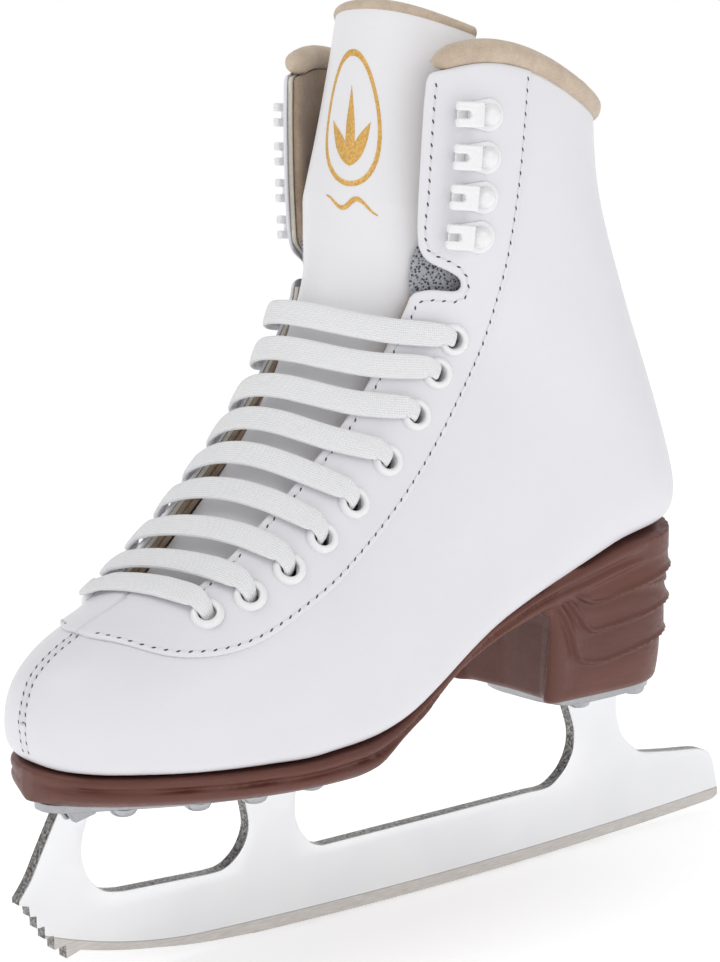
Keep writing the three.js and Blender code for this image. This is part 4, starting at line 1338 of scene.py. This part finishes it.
def hooks():
    """Each hook: a foot on the leather, a bridge, the clip that holds the lace, and a rivet."""
    turn = turns(40)
    ring = np.stack([np.cos(turn), np.sin(turn)], axis=1)
    heel_end = ring[(turn > math.pi * 0.45) & (turn < math.pi * 1.55)] * 4.3
    foot = np.vstack([heel_end, [(7.6, -2.7), (8.6, -1.8), (8.8, 0), (8.6, 1.8), (7.6, 2.7)]])
    bridge = rounded_box((2.2, -2.6), (6.3, 2.6), 0.5)
    for word, side in SIDES:
        for i in range(HOOKS):
            s, d = np.array([hook_s(i)]), np.array([side * HOOK_D])
            base, out = upper(s, d, FACING_TOP)[0], normal(s, d)[0]
            up = direction_s(s, d)[0]
            front = np.cross(up, out)
            front = front if front[1] < 0 else -front
            front = unit(front - out * np.dot(front, out))

            def place(points, height):
                return base + points[:, :1] * front + points[:, 1:] * up + height[:, None] * out

            parts = [
                plate("foot", foot, place, 0.85, ENAMEL, edge=0.45, cell=2, step=0.6, top=0.8),
                plate("bridge", bridge, place, 2.2, ENAMEL, edge=0.4, cell=1.5, step=0.7, top=2.7),
                plate("clip", hook_clip(), place, 2.1, ENAMEL, edge=0.6, cell=1.2, step=0.5, top=4.5,
                      both=True),
                turned("rivet", RIVET, base, out, ENAMEL, 36),
            ]
            obj = joined(f"{word}_lace_hook_{i + 1}", parts)
            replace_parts(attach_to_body(obj, f"{word}_flap_body"), f"{word}_hook_{i + 1}")


# ---------------------------------------------------------------- outsole
# The sole's underside as (y, z) and its half width as (y, x).
SOLE_LINE = catmull([(-146, 52.2), (-136, 50.9), (-121, 50.5), (-100, 49.8), (-70, 48.9), (-54, 49.1),
                     (-44, 52.6), (-32, 62), (-18, 71), (4, 79.4), (22, 84.2), (40, 86), (84, 88)], 8)
SOLE_FRONT, SOLE_BACK = -137.6, 76
SOLE_WIDTH = catmull([(SOLE_FRONT, 2.5), (-136.6, 7.6), (-134.0, 14), (-128.5, 20.4), (-119, 27.0),
                      (-105, 33.0), (-90, 36.8), (-75, 38), (-60, 37.2), (-46, 34.8), (-28, 31), (-8, 28.6),
                      (18, 28), (40, 28.4), (55, 27.4), (65, 23), (71.5, 16), (75, 8.5), (SOLE_BACK, 2.5)], 8)
TOE_TIP, TOE_FLAT = 59.4, -133       # the sole's top at its tip, and the y where it meets the upper's floor
HEEL_FOOT = 53                       # height of the heel's underside
SOLE_VOXEL = 0.00055                 # metres
# The ridges of the heel's side, from the top down, as (y, z).
WAVES = (
    ((24, 89.4), (29.8, 89.7), (43.4, 91.8), (57.4, 94.8), (70, 98)),
    ((19, 90.0), (23.7, 87.9), (27.7, 85.2), (31.5, 83.2), (36.2, 82.5), (46.8, 84.0), (58.9, 86.3),
     (72, 89)),
    ((15, 89.6), (20.2, 87.2), (25.4, 82.8), (30.7, 76.9), (33.3, 74.6), (36.4, 73.7), (47.1, 74.9),
     (59.2, 76.4), (72, 79)),
    ((9, 86.5), (14.0, 85.8), (20.1, 83.0), (25.5, 76.2), (28.9, 69.0), (31, 65.8), (34.2, 64.4),
     (42.8, 64.0), (59.5, 66.7), (72, 69)),
)


def floor_z(y):
    """The height of the upper's floor, which the sole lies against."""
    rows = last_at(np.linspace(0.8, 11.2, 60))
    order = np.argsort(rows[:, 2])
    return np.interp(y, rows[order, 2], rows[order, 3]) - 0.3


def sole_top(y):
    if y < TOE_FLAT:
        return float(lerp(TOE_TIP, floor_z(TOE_FLAT), (y - SOLE_FRONT) / (TOE_FLAT - SOLE_FRONT)))
    return float(floor_z(y))


def sole_rings():
    """Sections of the sole: a welt lip, a groove, a second lip and a bevel, thinner at the waist."""
    stretches = ((SOLE_FRONT, -128, 24), (-128, 68, 190), (68, SOLE_BACK, 18))
    for y in np.unique(np.concatenate([np.linspace(*stretch) for stretch in stretches])):
        half = np.interp(y, SOLE_WIDTH[:, 0], SOLE_WIDTH[:, 1])
        top = sole_top(y)
        deep = top - np.interp(y, SOLE_LINE[:, 0], SOLE_LINE[:, 1])
        waist = float(smooth((y + 54) / 16))
        edge = lerp(0.7 * deep, min(4 + 0.05 * (y + 40), deep - 0.6), waist)
        shrink = min(1, half / 12)
        arch = float(smooth((y + 22) / 26))
        under = lerp(lerp(7, 12, waist), 1.2, arch)
        wall = [(0, 1.2), (0.3, 0.5), (0.9, 0.08), (1.5, 0), (0.36 * edge, 0.1), (0.42 * edge, 0.8),
                (0.47 * edge, 2.0), (0.56 * edge, 2.0), (0.62 * edge, 0.8), (0.7 * edge, 0.1),
                (0.85 * edge, 0.25), (edge, 0.9), (lerp(edge, deep, 0.55), lerp(0.9, under, 0.45)),
                (deep, under)]
        side = [(half - i * shrink, top - drop) for drop, i in wall]
        yield [(x, y, z) for x, z in side] + [(-x, y, z) for x, z in side[::-1]]


def heel_ring(z, half, front, back, count=128):
    """A level section of the heel block: crisp front corners, a hollowed breast and a round back."""
    a = turns(count)
    power = np.where(np.sin(a) < 0, 2 / 16, 2 / 2.9)
    x = half * np.sign(np.cos(a)) * np.abs(np.cos(a)) ** power
    y = (front + back) / 2 + (back - front) / 2 * np.sign(np.sin(a)) * np.abs(np.sin(a)) ** power
    breast = np.clip(1 - (np.abs(x) / (half - 2.6)) ** 6, 0, 1) * (np.sin(a) < 0)
    return np.stack([x, y + BREAST_HOLLOW * breast, np.full(count, z)], axis=1)


# The heel block at a height: z, half width, front y and back y.
HEEL_TABLE = np.array([(HEEL_FOOT, 20.8, 23.2, 73.8), (53.6, 21.8, 21.6, 74.6), (54.8, 22.6, 20.6, 75.2),
                       (58, 23.4, 20.3, 75.5), (70, 25.2, 19.6, 76.6), (76, 26.0, 19.2, 76.8),
                       (80, 26.6, 18.0, 76.8), (82, 26.8, 15.0, 76), (86, 27, 14, 76), (93, 27.4, 14, 76)])
BREAST_HOLLOW = 4.2


def heel_rings():
    foot = [HEEL_FOOT, 53.25, 53.6, 54.1, 54.8]
    for z in np.concatenate([foot, np.arange(56, 76, 1.5), np.arange(76, 93.5, 0.75)]):
        yield heel_ring(z, *(np.interp(z, HEEL_TABLE[:, 0], HEEL_TABLE[:, c]) for c in (1, 2, 3)))


def heel_top_rings():
    """The heel's upper part, cut to the slope of the last's floor."""
    for share in np.linspace(0, 1, 10):
        ring = heel_ring(0, 27.4, 22, 76)
        ring[:, 2] = lerp(84, floor_z(ring[:, 1]) - 0.4, share)
        yield ring


def wave_relief(y, z):
    """Height of the heel's side: each wave line is a ridge, and the side falls away just below it."""
    relief = np.zeros(len(y))
    for line in WAVES:
        fine = catmull(line, 10)
        below = z - np.interp(y, fine[:, 0], fine[:, 1])
        slope = np.gradient(fine[:, 1], fine[:, 0])
        tilt = np.cos(np.arctan(np.interp(y, fine[:, 0], slope)))
        t = below * tilt
        fade = smooth((y - fine[0, 0]) / 4)
        ridge = 0.7 * np.exp(-((t / 0.8) ** 2))
        hollow = np.where(t < 0, -1.25 * np.exp(t / 3.6) * (1 - np.exp(-((t / 0.7) ** 2))), 0)
        swell = np.where(t > 0, 0.3 * np.exp(-t / 3.0), 0)
        relief += (ridge + hollow + swell) * fade
    return relief


def outsole():
    parts = [loft("slab", list(sole_rings()), SOLE), loft("block", list(heel_rings()), SOLE),
             loft("block_top", list(heel_top_rings()), SOLE)]
    obj = joined("unit_sole", parts)
    remesh = obj.modifiers.new("remesh", "REMESH")
    remesh.mode, remesh.voxel_size = "VOXEL", SOLE_VOXEL
    relax = obj.modifiers.new("relax", "SMOOTH")
    relax.factor, relax.iterations = 0.5, 2
    apply_modifiers(obj)
    mesh = obj.data
    co = np.empty(len(mesh.vertices) * 3)
    mesh.vertices.foreach_get("co", co)
    co = co.reshape(-1, 3) / MM
    out = np.array([v.vector[:] for v in mesh.vertex_normals])
    flank = smooth((np.abs(out[:, 0]) - 0.35) / 0.3) + smooth((out[:, 1] - 0.35) / 0.3)
    low_edge = smooth((co[:, 2] - 54.5) / 3)
    under_lip = smooth((floor_z(co[:, 1]) - 6.5 - co[:, 2]) / 1.5)
    relief = wave_relief(co[:, 1], co[:, 2]) * np.clip(flank, 0, 1) * low_edge * under_lip
    relief *= smooth((co[:, 1] - 8) / 4)
    co += out * relief[:, None]
    mesh.vertices.foreach_set("co", (co * MM).ravel())
    mesh.update()
    mesh.polygons.foreach_set("use_smooth", np.ones(len(mesh.polygons), bool))
    mesh.materials.clear()
    mesh.materials.append(SOLE)
    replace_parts(boot(obj), "outsole")


# ---------------------------------------------------------------- blade, plates and screws
BLADE, PLATE_THICK = 3.9, 2.5
# The toe plate's underside as (y, z).
PLATE_LINE = np.array([(-136, 47.9), (-128, 47.4), (-119, 46.9), (-100, 46), (-80, 45.3), (-62, 45.1),
                       (-46, 45.1)])
HEEL_PLATE_Z = HEEL_FOOT - 0.3 - PLATE_THICK


def rocker_z(y):
    return ROCKER - math.sqrt(ROCKER**2 - y**2)


def blade_outline():
    run = [(y, rocker_z(y)) for y in np.arange(114, -70, -3.0)]
    spin = catmull([(-70, 1.3), (-87, 2.6), (-100, 4.5), (-110, 6.2), (-119, 8.2), (-124.2, 9.6)], 5)
    teeth = [(-128.3, 8.3), (-128.5, 11.8), (-131.8, 11.4), (-132, 15.2), (-134.5, 14.8), (-134.6, 18.2),
             (-136.8, 18.1), (-136.9, 21.3), (-138.7, 21.6), (-139, 24.3), (-141.8, 25.2)]
    front = catmull([(-141.8, 26.4), (-138.4, 31), (-134.8, 38), (-130, 47)], 5)
    belly = catmull([(-120.2, 46.5), (-122.8, 40), (-123.5, 35), (-122.4, 30), (-120.2, 26.4),
                     (-116.5, 23.6), (-111, 22.4)], 6)
    bay = catmull([(-84, 21.1), (-79.6, 21.3), (-76, 22.8), (-73, 25.6), (-71, 29.6), (-70.8, 34),
                   (-73.5, 45.2)], 6)
    waist = catmull([(-53.4, 45.2), (-55, 33.7), (-54, 28.8), (-52, 25.2), (-49.2, 22.4), (-45.5, 21)], 6)
    hollow = catmull([(34, 21), (39.8, 20.9), (43.6, 22), (48.2, 25.4), (51.2, 30.3), (51.9, 35.4),
                      (50.8, 40), (46.8, 50.2)], 6)
    stern = catmull([(71, 50.2), (69.8, 44), (69.9, 39.5), (71.4, 34), (74, 30), (78.2, 26.5), (82, 24.6),
                     (94, 22.8), (107, 21.2), (111.5, 19.6), (114, 17), (115.6, 12), (116.8, 7.4),
                     (117, 4.4), (115.6, 3.5)], 5)
    return np.vstack([run, spin, teeth, front, belly, bay, waist, hollow, stern])


def blade():
    def place(points, height):
        return np.stack([height, points[:, 0], points[:, 1]], axis=1)

    def wall(a, b):
        """Bare ground steel on the running edge; on the rest of the rim, cut steel painted dark as the dark
        reflections it shows.
        """
        y, z = (a + b) / 2
        return 1 if z < rocker_z(y) + 0.8 + max(0.0, -85 - y) * 0.13 and y > -127 else 2

    obj = plate("blade_profile", blade_outline(), place, BLADE, [CHROME, BARE, RIM_PAINTED_DARK], edge=0.22, cell=6,
                step=1.6, both=True, top=BLADE / 2, wall=wall)
    sharp_by_angle(obj, 40)
    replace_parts(boot(obj), "blade")


def plate_z(y):
    return np.interp(y, PLATE_LINE[:, 0], PLATE_LINE[:, 1])


def plan_outline(edge):
    line = catmull([(x, y) for y, x in edge], 6)
    return np.vstack([line, (line * (-1, 1))[::-1]])


def plate_sheet(name, edge, place):
    """One steel plate of the blade from half its plan, (y, x)."""
    return plate(name, plan_outline(edge), place, PLATE_THICK, STEEL, edge=0.45, cell=3.5, step=1.2,
                 both=True)


def sole_plate():
    def place(points, height):
        return np.stack([points[:, 0], points[:, 1], plate_z(points[:, 1]) + PLATE_THICK + height], axis=1)

    edge = [(-134.6, 1.5), (-133.2, 4), (-128.5, 6.8), (-120, 9.2), (-106, 14), (-92, 17.6), (-78, 20),
            (-64, 20.8), (-54, 20.2), (-49.5, 17.5), (-47.4, 12)]
    parts = [plate_sheet("curved", edge, place)]
    wedge = [(-129.5, 48.2), (-126.8, 44.4), (-121, 45.6), (-119.5, 47.6)]
    for side in (-1, 1):
        def stand(points, height):
            return np.stack([height + side * BLADE, points[:, 0], points[:, 1]], axis=1)

        parts.append(plate("wedge", wedge, stand, 2.6, STEEL, edge=0.3, cell=2, step=1, both=True, top=1.3))
    obj = joined("toe_plate", parts)
    sharp_by_angle(obj, 45)
    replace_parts(boot(obj), "sole_plate")


def heel_plate():
    def place(points, height):
        return np.stack([points[:, 0], points[:, 1], HEEL_PLATE_Z + PLATE_THICK + height], axis=1)

    edge = [(30, 7), (31.2, 13), (34, 17), (44, 18.3), (62, 17.2), (71, 13.5), (73, 7), (74, 2.5)]
    obj = plate_sheet("heel_mount_plate", edge, place)
    sharp_by_angle(obj, 45)
    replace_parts(boot(obj), "heel_plate")


SCREW_PROFILE = [(0, -0.9), (0.9, -0.9), (1.25, -1.0), (1.45, -2.0), (1.7, -2.05), (2.5, -1.85),
                 (3.2, -1.35), (3.6, -0.6), (3.65, 0.1), (3.5, 0.3), (1.8, 0.3), (1.8, 8), (0, 9.5)]
SOLE_SCREWS = ((-114, 7), (-95, 12.6), (-79, 15.4), (-60, 15.2))
HEEL_SCREWS = ((42, 13), (66, 12))


def star_recess(r, h):
    """The recess in a screw's head has six lobes."""
    return 0.12 if r < 1.5 and h < 0 else 0


def screws():
    spots = [("sole", y, x * side, float(plate_z(y))) for y, x in SOLE_SCREWS for side in (1, -1)]
    spots += [("heel", y, x * side, HEEL_PLATE_Z) for y, x in HEEL_SCREWS for side in (1, -1)]
    counts = {"sole": 0, "heel": 0}
    for where, y, x, face in spots:
        counts[where] += 1
        name = f"{where}_pan_screw_{counts[where]}"
        obj = turned(name, SCREW_PROFILE, (x, y, face - 0.25), (0, 0, 1), SCREW, 36, ripple=star_recess)
        sharp_by_angle(obj, 40)
        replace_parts(boot(obj), f"{where}_screw_{counts[where]}")


# ---------------------------------------------------------------- everything
for word, side in SIDES:
    quarter(word, side)
    facing(word, side)
    throat_lining(word, side)
    flap_lining(word, side)
    gusset(word, side)
lining()
footbed()
back_stay()
collar()
tongue()
toe_seam()
ornament()
lace_length = lace()
print(f"lace length {lace_length:.0f} mm")
eyelets()
hooks()
outsole()
blade()
sole_plate()
heel_plate()
screws()
